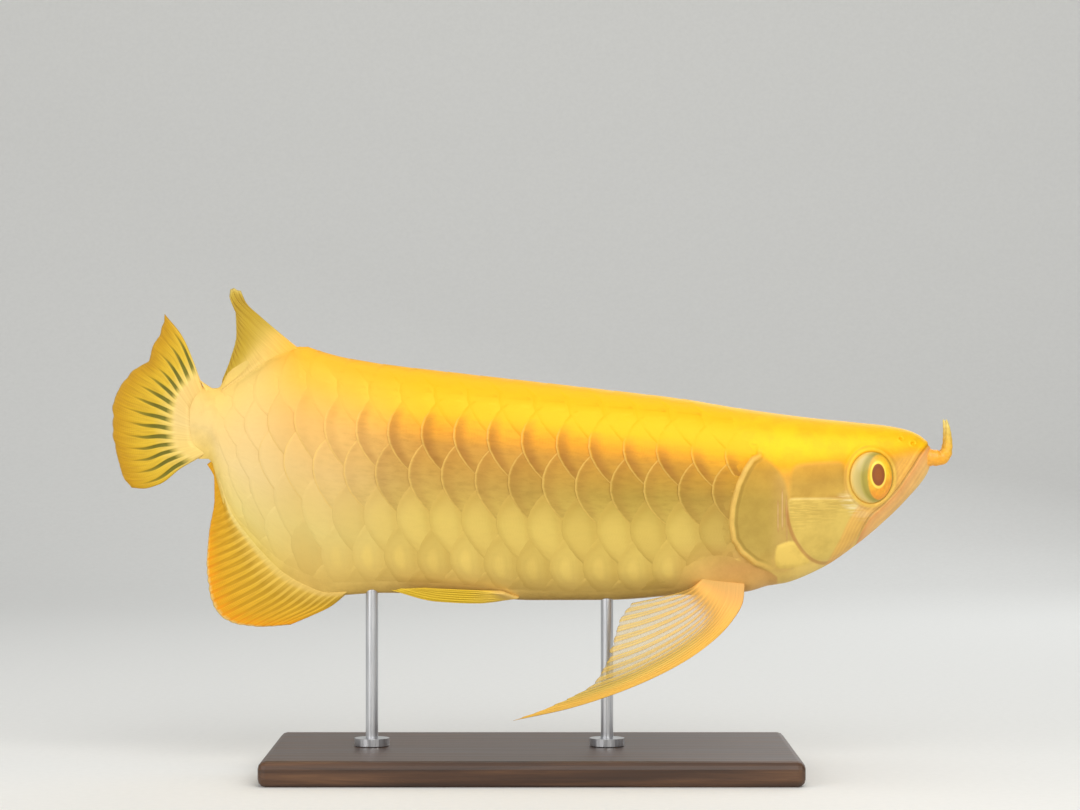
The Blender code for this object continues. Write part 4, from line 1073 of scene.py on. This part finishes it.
def scaleMaterial():
    nodes = Nodes("golden scales", 0.4)
    times, less, between = nodes.times, nodes.less, nodes.between
    colour = markedColour(nodes)
    u, v, tone, row, shown = (nodes.number(name) for name in ("u", "v", "tone", "row", "shown"))
    along = nodes.number("along")
    # rows 2 and 3 carry a brown crescent inside a pale rim, which fades toward the tail
    forward = between(along, -0.105, -0.045)
    upperRows = times(times(between(row, 1.2, 1.8), less(between(row, 3.2, 3.8))), shown)
    strength = less(times(between(row, 2.2, 2.8), 0.55))
    crescent = times(between(v, 0.03, 0.08), less(between(v, 0.12, 0.40)))
    ends = less(between(nodes.math("ABSOLUTE", u), 0.55, 1.0))
    band = times(times(times(crescent, upperRows), times(strength, ends)), forward)
    colour = nodes.paint(times(band, 0.46), colour, scaleLook["crescent"])
    # a thin pale rim
    seen = times(times(between(row, 1.2, 1.8), less(between(row, 3.2, 3.9))), shown)
    rim = times(less(between(v, 0.02, 0.06)), seen)
    colour = nodes.paint(times(rim, 0.5), colour, scaleLook["rim"])
    # lower rows: round cells in a soft darker net, with painted sheen brightening the middle of each cell and
    # painted highlight spots in the rows below
    across, downwards = times(u, 1.15), times(nodes.math("SUBTRACT", v, 0.36), 2.6)
    middle = nodes.math("SQRT", nodes.math("ADD", times(across, across), times(downwards, downwards)))
    lowRows = times(times(between(row, 3.1, 4.0), between(along, -0.1, -0.04)), shown)
    net = times(between(middle, 0.55, 0.95), lowRows)
    colour = nodes.paint(times(net, 0.2), colour, scaleLook["net"])
    cellSheen = times(less(between(middle, 0.25, 0.8)), times(lowRows, less(between(row, 4.4, 4.6))))
    colour = nodes.paint(times(cellSheen, 0.16), colour, scaleLook["spot"])
    # painted highlight: a bright spot in the middle of each scale
    spot = times(times(less(between(middle, 0.16, 0.5)), between(row, 4.4, 4.8)), lowRows)
    colour = nodes.paint(times(spot, 0.6), colour, scaleLook["spot"])
    # fine lines that fan out from the root, and growth lines along the edge
    fan = nodes.joined(times(u, 10.0), times(v, 3.4), times(tone, 40.0))
    fine = nodes.noise(fan, 1.0, 4.0, 0.6)
    glow = nodes.colours(fine, ((0.30, (214, 206, 192)), (0.52, (244, 241, 234)), (0.72, (255, 255, 255))))
    fanShare = nodes.math("ADD", times(times(upperRows, forward), 0.34), 0.1)
    colour = nodes.mix(fanShare, colour, glow, "MULTIPLY")
    tint = nodes.colours(tone, ((0.0, (232, 226, 214)), (0.5, (250, 248, 244)), (1.0, (255, 255, 255))))
    colour = nodes.mix(times(shown, 0.5), colour, tint, "MULTIPLY")
    growth = nodes.waves(nodes.joined(times(u, 0.2), v, tone), "Y", 9.0, 2.0, 2.0, 3.0)
    normal = nodes.bump(growth, 0.08, 0.0003, nodes.bump(fine, 0.12, 0.0004))
    rough = nodes.span(fine, *scaleLook["roughness"])
    nodes.shader.inputs["Metallic"].default_value = 0.25
    nodes.shader.inputs["Specular IOR Level"].default_value = 0.3
    return nodes.finish(finTint(nodes, colour), normal, rough)


def skinMaterial():
    nodes = Nodes("golden skin", 0.42)
    times, less, between = nodes.times, nodes.less, nodes.between
    place = nodes.place()
    body = markedColour(nodes)
    drop, along = nodes.number("drop"), nodes.number("along")
    away = {name: nodes.number(name) for name in headForm["painted"]}

    def inside(name, soft=0.35):
        return between(away[name], soft, -soft)

    def on(name, middle, wide):
        return between(nodes.math("ABSOLUTE", nodes.math("SUBTRACT", away[name], middle)), wide,
                       wide * 0.25)

    # the head from crown to throat: deep gold above, paler and olive below
    head = nodes.colours(drop, ((0.0, (255, 200, 4)), (0.22, (255, 190, 2)), (0.30, (250, 176, 12)),
                                (0.37, (226, 168, 62)), (0.6, (224, 188, 100)), (0.8, (238, 204, 116)),
                                (1.0, (238, 204, 108))))
    colour = nodes.mix(between(away["head"], 0.4, -0.4), body, head)
    crown = times(less(between(drop, 0.16, 0.30)), between(along, 0.06, 0.1))
    colour = nodes.paint(crown, colour, (255, 198, 3))
    # gill cover: olive gold, brownish above, with a painted sheen toward the front, a painted highlight along
    # its free rim and painted shade in the groove inside the rim
    gill = nodes.colours(drop, ((0.0, (248, 182, 16)), (0.24, (234, 170, 36)), (0.34, (200, 154, 56)),
                                (0.50, (186, 154, 66)), (0.66, (190, 160, 74)), (0.78, (196, 166, 80)),
                                (0.88, (222, 186, 94)), (1.0, (232, 196, 100))))
    colour = nodes.mix(inside("gill", 1.2), colour, gill)
    # painted sheen: the gill cover is lighter toward its front and lower part
    front = times(times(inside("gill", 1.0), between(along, 0.092, 0.1)), between(drop, 0.3, 0.4))
    colour = nodes.paint(times(front, 0.3), colour, (222, 178, 110))
    colour = nodes.paint(times(inside("lowGill", 0.6), 0.9), colour, (242, 208, 104))
    # painted highlight along the raised free rim of the gill cover
    low = between(drop, 0.20, 0.30)
    backEdge = less(between(along, 0.086, 0.0975))
    rim = times(times(times(between(away["head"], -2.3, -1.5), between(away["head"], 0.4, -0.2)),
                      backEdge), low)
    colour = nodes.paint(times(rim, 0.85), colour, (234, 192, 98))
    # painted shade in the groove just inside the rim
    under = times(times(on("head", -2.7, 0.9), backEdge), low)
    colour = nodes.paint(times(under, 0.4), colour, (150, 118, 42))
    # cheek plates
    plate = nodes.colours(drop, ((0.28, (212, 158, 50)), (0.42, (192, 152, 62)), (0.5, (206, 166, 72))))
    colour = nodes.mix(times(inside("upperCheek", 1.3), 0.9), colour, plate)
    colour = nodes.paint(times(inside("lowerCheek", 0.9), 0.9), colour, (222, 192, 96))
    # painted highlight along the seam where the upper and lower cheek plates meet
    cheekSeamHighlight = times(times(on("lowerCheek", 0.1, 0.7), between(drop, 0.36, 0.42)), between(along, 0.1, 0.104))
    upperSeamHighlight = times(cheekSeamHighlight, less(between(drop, 0.56, 0.62)))
    colour = nodes.paint(times(upperSeamHighlight, 0.6), colour, (240, 214, 130))
    # painted shade, reddish brown, in the crease just outside the lower cheek plate
    cheekCreaseShade = times(times(on("lowerCheek", 0.7, 1.1), between(drop, 0.5, 0.58)),
                 less(between(along, 0.120, 0.128)))
    colour = nodes.paint(times(cheekCreaseShade, 0.55), colour, (176, 108, 56))
    # upright folds of the preopercle, pale with a pinkish shade beside them
    folds = nodes.number("folds")
    colour = nodes.paint(times(between(folds, 0.05, 0.4), 0.35), colour, (190, 134, 80))
    colour = nodes.paint(times(between(folds, 0.3, 0.8), 0.5), colour, (226, 196, 140))
    # under the eye and along the upper jaw
    cheekStreak = nodes.noise(nodes.mapping(place, rotation=(0, math.radians(18), 0),
                                            scale=(60.0, 60.0, 620.0)),
                              1.0, 3.0, 0.6)
    belowEye = times(times(between(away["eye"], 1.05, 1.2), less(between(away["eye"], 1.45, 1.75))),
                     times(between(drop, 0.50, 0.58), less(between(along, 0.130, 0.138))))
    colour = nodes.paint(times(times(belowEye, between(cheekStreak, 0.45, 0.62)), 0.8), colour,
                         (246, 230, 176))
    snout = times(between(along, 0.141, 0.149), between(away["mouth"], 0.0, 1.0))
    colour = nodes.paint(times(snout, times(between(drop, 0.2, 0.42), 0.7)), colour, (250, 184, 60))
    jawBand = times(between(away["mouth"], 0.0, 0.5), less(between(away["mouth"], 5.8, 7.4)))
    jawBand = times(jawBand, between(drop, 0.34, 0.42))
    colour = nodes.paint(times(jawBand, 0.6), colour, (242, 184, 90))
    ridges = nodes.waves(nodes.joined(away["mouth"], 0.0, 0.0), "X", 0.24)
    colour = nodes.paint(times(times(jawBand, less(ridges)), 0.26), colour, (212, 146, 76))
    # the lower jaw is peach, its underside pale gold
    jaw = times(between(away["mouth"], -0.15, -0.7), between(along, 0.1205, 0.1265))
    peach = nodes.colours(nodes.math("MULTIPLY", away["mouth"], -0.05),
                          ((0.0, (220, 150, 84)), (0.10, (240, 182, 108)), (0.30, (240, 192, 110)),
                           (0.42, (244, 212, 124)), (1.0, (236, 202, 104))))
    colour = nodes.mix(jaw, colour, peach)
    slit = times(on("mouth", 0.0, 0.55), between(along, 0.128, 0.132))
    colour = nodes.paint(times(slit, 0.45), colour, (170, 96, 48))
    ring = times(less(between(away["eye"], 1.06, 1.14)), 0.6)
    ringColour = nodes.colours(drop, ((0.2, (255, 202, 30)), (0.45, (236, 196, 84))))
    colour = nodes.mix(ring, colour, ringColour)
    edge = times(on("eye", 1.16, 0.06), less(between(along, 0.130, 0.138)))
    colour = nodes.paint(times(edge, 0.3), colour, (186, 140, 50))
    # soft mottling, fine streaks and pores
    streak = nodes.noise(nodes.mapping(place, scale=(170.0, 170.0, 1500.0)), 1.0, 3.0, 0.55)
    mottle = nodes.noise(place, 110.0, 5.0, 0.65)
    onCheek = times(times(inside("lowerCheek", 1.0), between(streak, 0.62, 0.42)),
                    less(between(drop, 0.58, 0.76)))
    colour = nodes.paint(times(onCheek, 0.36), colour, (180, 144, 62))
    patch = nodes.colours(mottle, ((0.3, (214, 204, 186)), (0.6, (255, 255, 255))))
    colour = nodes.mix(0.45, colour, patch, "MULTIPLY")
    pores = nodes.noise(place, 1400.0, 2.0, 0.5)
    normal = nodes.bump(pores, 0.12, 0.0003, nodes.bump(mottle, 0.1, 0.0006))
    nodes.shader.inputs["Metallic"].default_value = 0.2
    nodes.shader.inputs["Specular IOR Level"].default_value = 0.3
    return nodes.finish(finTint(nodes, colour), normal, nodes.span(mottle, 0.42, 0.54))


finColours = {
    "tail": {"rays": ((0.0, (240, 212, 132)), (0.16, (236, 206, 104)), (0.4, (228, 192, 54)),
                      (0.7, (222, 180, 36)),
                      (0.9, (206, 158, 12)), (0.98, (198, 148, 6)), (1.0, (228, 190, 92))),
             "web": ((0.0, (238, 210, 128)), (0.10, (210, 184, 92)), (0.2, (120, 116, 30)),
                     (0.42, (112, 108, 22)),
                     (0.62, (146, 130, 24)), (0.8, (196, 156, 20)), (0.95, (200, 150, 8)),
                     (1.0, (224, 182, 80)))},
    "dorsal": {"rays": ((0.0, (226, 190, 96)), (0.35, (206, 174, 70)), (0.6, (192, 160, 46)),
                        (0.85, (192, 158, 40)),
                        (0.95, (206, 178, 66)), (1.0, (226, 206, 124))),
               "web": ((0.0, (226, 190, 96)), (0.35, (206, 174, 70)), (0.6, (188, 154, 40)),
                       (0.85, (164, 130, 18)),
                       (0.95, (172, 142, 34)), (1.0, (214, 190, 100)))},
    "anal": {"rays": ((0.0, (236, 200, 112)), (0.12, (234, 196, 84)), (0.4, (228, 182, 46)),
                      (0.8, (232, 172, 20)),
                      (0.94, (244, 170, 6)), (1.0, (242, 216, 140))),
             "web": ((0.0, (230, 194, 106)), (0.10, (214, 174, 66)), (0.3, (196, 154, 30)),
                     (0.7, (206, 154, 14)),
                     (0.9, (236, 156, 4)), (0.97, (242, 158, 6)), (1.0, (240, 210, 132)))},
    "pectoral": {"rays": ((0.0, (240, 164, 84)), (0.12, (244, 182, 88)), (0.35, (246, 200, 96)),
                          (0.8, (240, 204, 94)),
                          (1.0, (236, 202, 100))),
                 "web": ((0.0, (238, 162, 82)), (0.15, (238, 182, 88)), (0.4, (222, 190, 96)),
                         (0.8, (216, 190, 100)),
                         (1.0, (208, 182, 90)))},
    "pelvic": {"rays": ((0.0, (238, 204, 96)), (0.4, (246, 210, 60)), (1.0, (244, 208, 62))),
               "web": ((0.0, (234, 198, 92)), (0.4, (238, 200, 52)), (1.0, (234, 196, 50)))},
}


# where each fin takes over from the body's colour, and where its fibres show
finLook = {
    "tail": {"blend": (0.0, 0.1), "fibres": (0.05, 0.3), "fibreShare": 0.55},
    "dorsal": {"blend": (0.05, 0.5), "fibres": (0.6, 0.85), "fibreShare": 0.6},
    "anal": {"blend": (0.0, 0.13), "fibres": (0.1, 0.3), "fibreShare": 0.4},
    "pectoral": {"blend": (0.02, 0.14), "fibres": (0.05, 0.3), "fibreShare": 0.55},
    "pelvic": {"blend": (0.0, 0.15), "fibres": (0.1, 0.3), "fibreShare": 0.4},
}


def finMaterial(name):
    nodes = Nodes(name + " fin", 0.42)
    times, less, between = nodes.times, nodes.less, nodes.between
    reach, across, ray = nodes.number("reach"), nodes.number("across"), nodes.number("ray")
    colour = nodes.mix(between(ray, 0.15, 0.8), nodes.colours(reach, finColours[name]["web"]),
                       nodes.colours(reach, finColours[name]["rays"]))
    if name == "anal":
        # the rear of the anal fin is plain deep gold
        rear = times(between(nodes.number("share"), 0.55, 0.8), between(reach, 0.05, 0.3))
        colour = nodes.paint(times(rear, 0.75), colour, (214, 158, 10))
    if name == "pectoral":
        # the leading rays are thick, opaque and orange
        front = times(less(between(nodes.number("share"), 0.1, 0.34)), between(reach, 0.06, 0.25))
        colour = nodes.paint(times(front, 0.75), colour, (246, 192, 80))
    # the root takes the colour of the flesh that carries it
    body = finTint(nodes, markedColour(nodes)) if name == "pectoral" else markedColour(nodes)
    colour = nodes.mix(between(reach, *finLook[name]["blend"]), body, colour)
    spot = nodes.joined(times(across, 3.0), times(reach, 2.6), 0.0)
    fibre = nodes.noise(nodes.joined(times(across, 11.0), times(reach, 3.0), 0.0), 1.0, 5.0, 0.62)
    shade = nodes.colours(fibre, ((0.28, (196, 184, 160)), (0.5, (238, 233, 222)), (0.72, (255, 255, 255))))
    fibred = times(between(reach, *finLook[name]["fibres"]), finLook[name]["fibreShare"])
    colour = nodes.mix(fibred, colour, shade, "MULTIPLY")
    cloud = nodes.colours(nodes.noise(spot, 1.0, 3.0), ((0.3, (226, 218, 200)), (0.65, (255, 255, 255))))
    colour = nodes.mix(0.5, colour, cloud, "MULTIPLY")
    # rays are jointed across, more closely toward the tip
    joint = nodes.waves(nodes.joined(across, times(reach, 5.0), 0.0), "Y", 2.4, 1.5, 1.0)
    lines = times(times(joint, between(reach, 0.3, 0.6)), ray)
    colour = nodes.paint(times(lines, 0.10), colour, (130, 92, 24))
    normal = nodes.bump(lines, 0.08, 0.0002, nodes.bump(times(fibre, fibred), 0.22, 0.0003))
    nodes.shader.inputs["Metallic"].default_value = 0.15
    nodes.shader.inputs["Specular IOR Level"].default_value = 0.3
    alpha = nodes.number("solid") if "clear" in finForm[name] else None
    return nodes.finish(colour, normal, nodes.span(fibre, 0.36, 0.5), alpha)


def eyeMaterial():
    nodes = Nodes("wet golden eye", 0.4, Coat_Weight=0.2, Coat_Roughness=0.06)
    between, times = nodes.between, nodes.times
    olive, goldPart, pupil, ball, lean = (nodes.number(name) for name in ("olive", "gold", "pupil",
                                                                          "ball", "lean"))
    pale = nodes.colours(ball, ((0.0, (180, 162, 84)), (0.62, (188, 168, 92)), (0.8, (208, 184, 108)),
                                (0.92, (226, 190, 96)), (1.0, (206, 164, 66))))
    ring = nodes.colours(olive, ((0.0, (186, 164, 50)), (0.7, (172, 152, 46)), (0.88, (156, 140, 46)),
                                 (1.0, (184, 166, 74))))
    colour = nodes.mix(between(olive, 1.1, 0.94), pale, ring)
    gold = nodes.colours(goldPart, ((0.0, (252, 196, 24)), (0.5, (250, 190, 20)), (0.66, (255, 214, 36)),
                                    (0.86, (250, 190, 28)), (1.0, (214, 170, 44))))
    gold = nodes.mix(times(between(lean, 0.5, 6.5), 0.7), gold, linear((246, 148, 22)))
    fibre = nodes.noise(nodes.mapping(nodes.place(), scale=(900.0, 900.0, 500.0)), 1.0, 4.0, 0.65)
    gold = nodes.mix(0.5, gold, nodes.colours(fibre, ((0.3, (206, 188, 160)), (0.65, (255, 255, 255)))),
                     "MULTIPLY")
    colour = nodes.mix(between(goldPart, 1.05, 0.97), colour, gold)
    pupilRing = times(between(pupil, 1.0, 1.08), between(pupil, 1.34, 1.2))
    colour = nodes.paint(times(pupilRing, 0.7), colour, (255, 232, 96))
    colour = nodes.paint(between(pupil, 1.06, 0.95), colour, (140, 70, 8))
    colour = nodes.paint(times(between(pupil, 0.72, 0.4), 0.55), colour, (160, 88, 14))
    return nodes.finish(colour)


def barbelMaterial():
    nodes = Nodes("barbel skin", 0.35)
    reach = nodes.number("reach")
    colour = nodes.colours(reach, ((0.0, (246, 176, 56)), (0.3, (248, 174, 36)), (0.5, (244, 188, 56)),
                                   (0.75, (232, 196, 84)), (1.0, (238, 218, 126))))
    grain = nodes.noise(nodes.place(), 900.0, 3.0)
    colour = nodes.mix(0.4, colour, nodes.colours(grain,
                                                  ((0.3, (190, 170, 140)), (0.7, (255, 255, 255)))),
                                                  "MULTIPLY")
    return nodes.finish(colour, nodes.bump(grain, 0.2, 0.0003))


def woodMaterial():
    nodes = Nodes("dark stained wood", 0.4)
    place = nodes.place()
    grainPlace = nodes.mapping(place, scale=(3.0, 60.0, 60.0))
    grain = nodes.noise(grainPlace, 4.0, 6.0, 0.62, 0.6)
    rings = nodes.waves(nodes.mapping(place, scale=(1.0, 8.0, 8.0)), "Y", 5.0, 7.0, 3.0, 1.4)
    dark = nodes.colours(grain, ((0.3, (52, 34, 22)), (0.55, (84, 56, 36)), (0.75, (112, 78, 50))))
    bands = nodes.colours(rings, ((0.2, (190, 178, 165)), (0.8, (255, 255, 255))))
    colour = nodes.mix(0.7, dark, bands, "MULTIPLY")
    return nodes.finish(colour, nodes.bump(grain, 0.15, 0.0005), nodes.span(grain, 0.3, 0.5))


def steelMaterial():
    nodes = Nodes("brushed steel", 0.3, Metallic=1.0)
    brushed = nodes.noise(nodes.mapping(nodes.place(), scale=(60.0, 60.0, 2.0)), 30.0, 4.0)
    colour = nodes.colours(brushed, ((0.3, (188, 190, 194)), (0.7, (214, 215, 217))))
    return nodes.finish(colour, nodes.bump(brushed, 0.1, 0.0002), nodes.span(brushed, 0.22, 0.4))


# the studio
studio = {
    "camera": (0.0032, -1.3, 0.1464),
    "lens": 108.33,
    "floor": 4.0,
    "wallAt": 1.1,
    "wallRound": 0.6,
    "lights": (
        ("keyLight", (0.35, -1.1, 0.8), (0.0, 0.0, 0.12), 1.2, 12.0, (1.0, 0.97, 0.92)),
        ("fillLight", (-1.0, -1.0, 0.5), (0.0, 0.0, 0.12), 1.2, 6.5, (1.0, 0.98, 0.96)),
        ("topLight", (0.0, 0.1, 1.2), (0.0, 0.0, 0.1), 1.0, 2.5, (1.0, 0.98, 0.94)),
        ("backLight", (0.5, 1.0, 0.7), (0.0, 0.0, 0.12), 0.9, 3.0, (0.96, 0.98, 1.0)),
    ),
    "paper": (240, 240, 237),
    "ambient": 0.42,
}


def makeStudio():
    eye = bpy.data.cameras.new("camera")
    eye.lens = studio["lens"]
    eye.sensor_width = 36.0
    camera = bpy.data.objects.new("camera", eye)
    camera.location = studio["camera"]
    camera.rotation_euler = (math.radians(90), 0, 0)
    bpy.context.scene.collection.objects.link(camera)
    bpy.context.scene.camera = camera
    for name, spot, target, size, power, colour in studio["lights"]:
        lamp = bpy.data.lights.new(name, "AREA")
        lamp.shape, lamp.size, lamp.energy, lamp.color = "DISK", size, power, colour
        lampObject = bpy.data.objects.new(name, lamp)
        lampObject.location = spot
        lampObject.rotation_euler = (Vector(target) - Vector(spot)).to_track_quat("-Z", "Y").to_euler()
        bpy.context.scene.collection.objects.link(lampObject)
    # floor and wall are one sheet of paper with a round bend
    deselectAll()
    bpy.ops.mesh.primitive_grid_add(x_subdivisions=2, y_subdivisions=40, size=1.0)
    paper = bpy.context.object
    paper.name = "paper"
    half, bend, back = studio["floor"] / 2, studio["wallRound"], studio["wallAt"]
    for vertex in paper.data.vertices:
        way = (vertex.co.y + 0.5) * (half + back + half)
        x = vertex.co.x * 2 * studio["floor"]
        if way <= half + back:
            vertex.co = (x, way - half, 0.0)
        else:
            turn = min((way - half - back) / bend, math.pi / 2)
            rest = max(0.0, way - half - back - bend * math.pi / 2)
            vertex.co = (x, back + bend * math.sin(turn), bend * (1 - math.cos(turn)) + rest)
    smoothShade(paper)
    nodes = Nodes("pale paper", 0.9)
    grain = nodes.noise(nodes.place(), 300.0, 2.0)
    shade = np.array(studio["paper"])
    colour = nodes.colours(grain, ((0.3, tuple(shade - 3)), (0.7, tuple(shade))))
    paper.data.materials.append(nodes.finish(colour))
    world = bpy.data.worlds.new("world")
    world.use_nodes = True
    world.node_tree.nodes["Background"].inputs["Color"].default_value = linear((240, 242, 245))
    world.node_tree.nodes["Background"].inputs["Strength"].default_value = studio["ambient"]
    bpy.context.scene.world = world
    bpy.context.scene.view_settings.view_transform = "Standard"


makeStudio()
print("camera, light and floor done")
makeSkin(skinMaterial())
print("skin done")
makeScales(scaleMaterial())
print("scales done")
finMaterials = {name: finMaterial(name) for name in ("dorsal", "anal", "tail", "pectoral", "pelvic")}
makeMiddleFins(finMaterials)
makePairedFins(finMaterials)
print("fins done")
eyeLook, barbelLook = eyeMaterial(), barbelMaterial()
for side in ("right", "left"):
    makeEye(side, eyeLook)
    makeBarbel(side, barbelLook)
print("eyes and barbels done")
wood, steel = woodMaterial(), steelMaterial()
for node, look in (("stand_base", wood), ("stand_rod_front", steel), ("stand_rod_rear", steel)):
    for slot in bpy.data.objects[node].material_slots:
        slot.material = look
print("stand done")
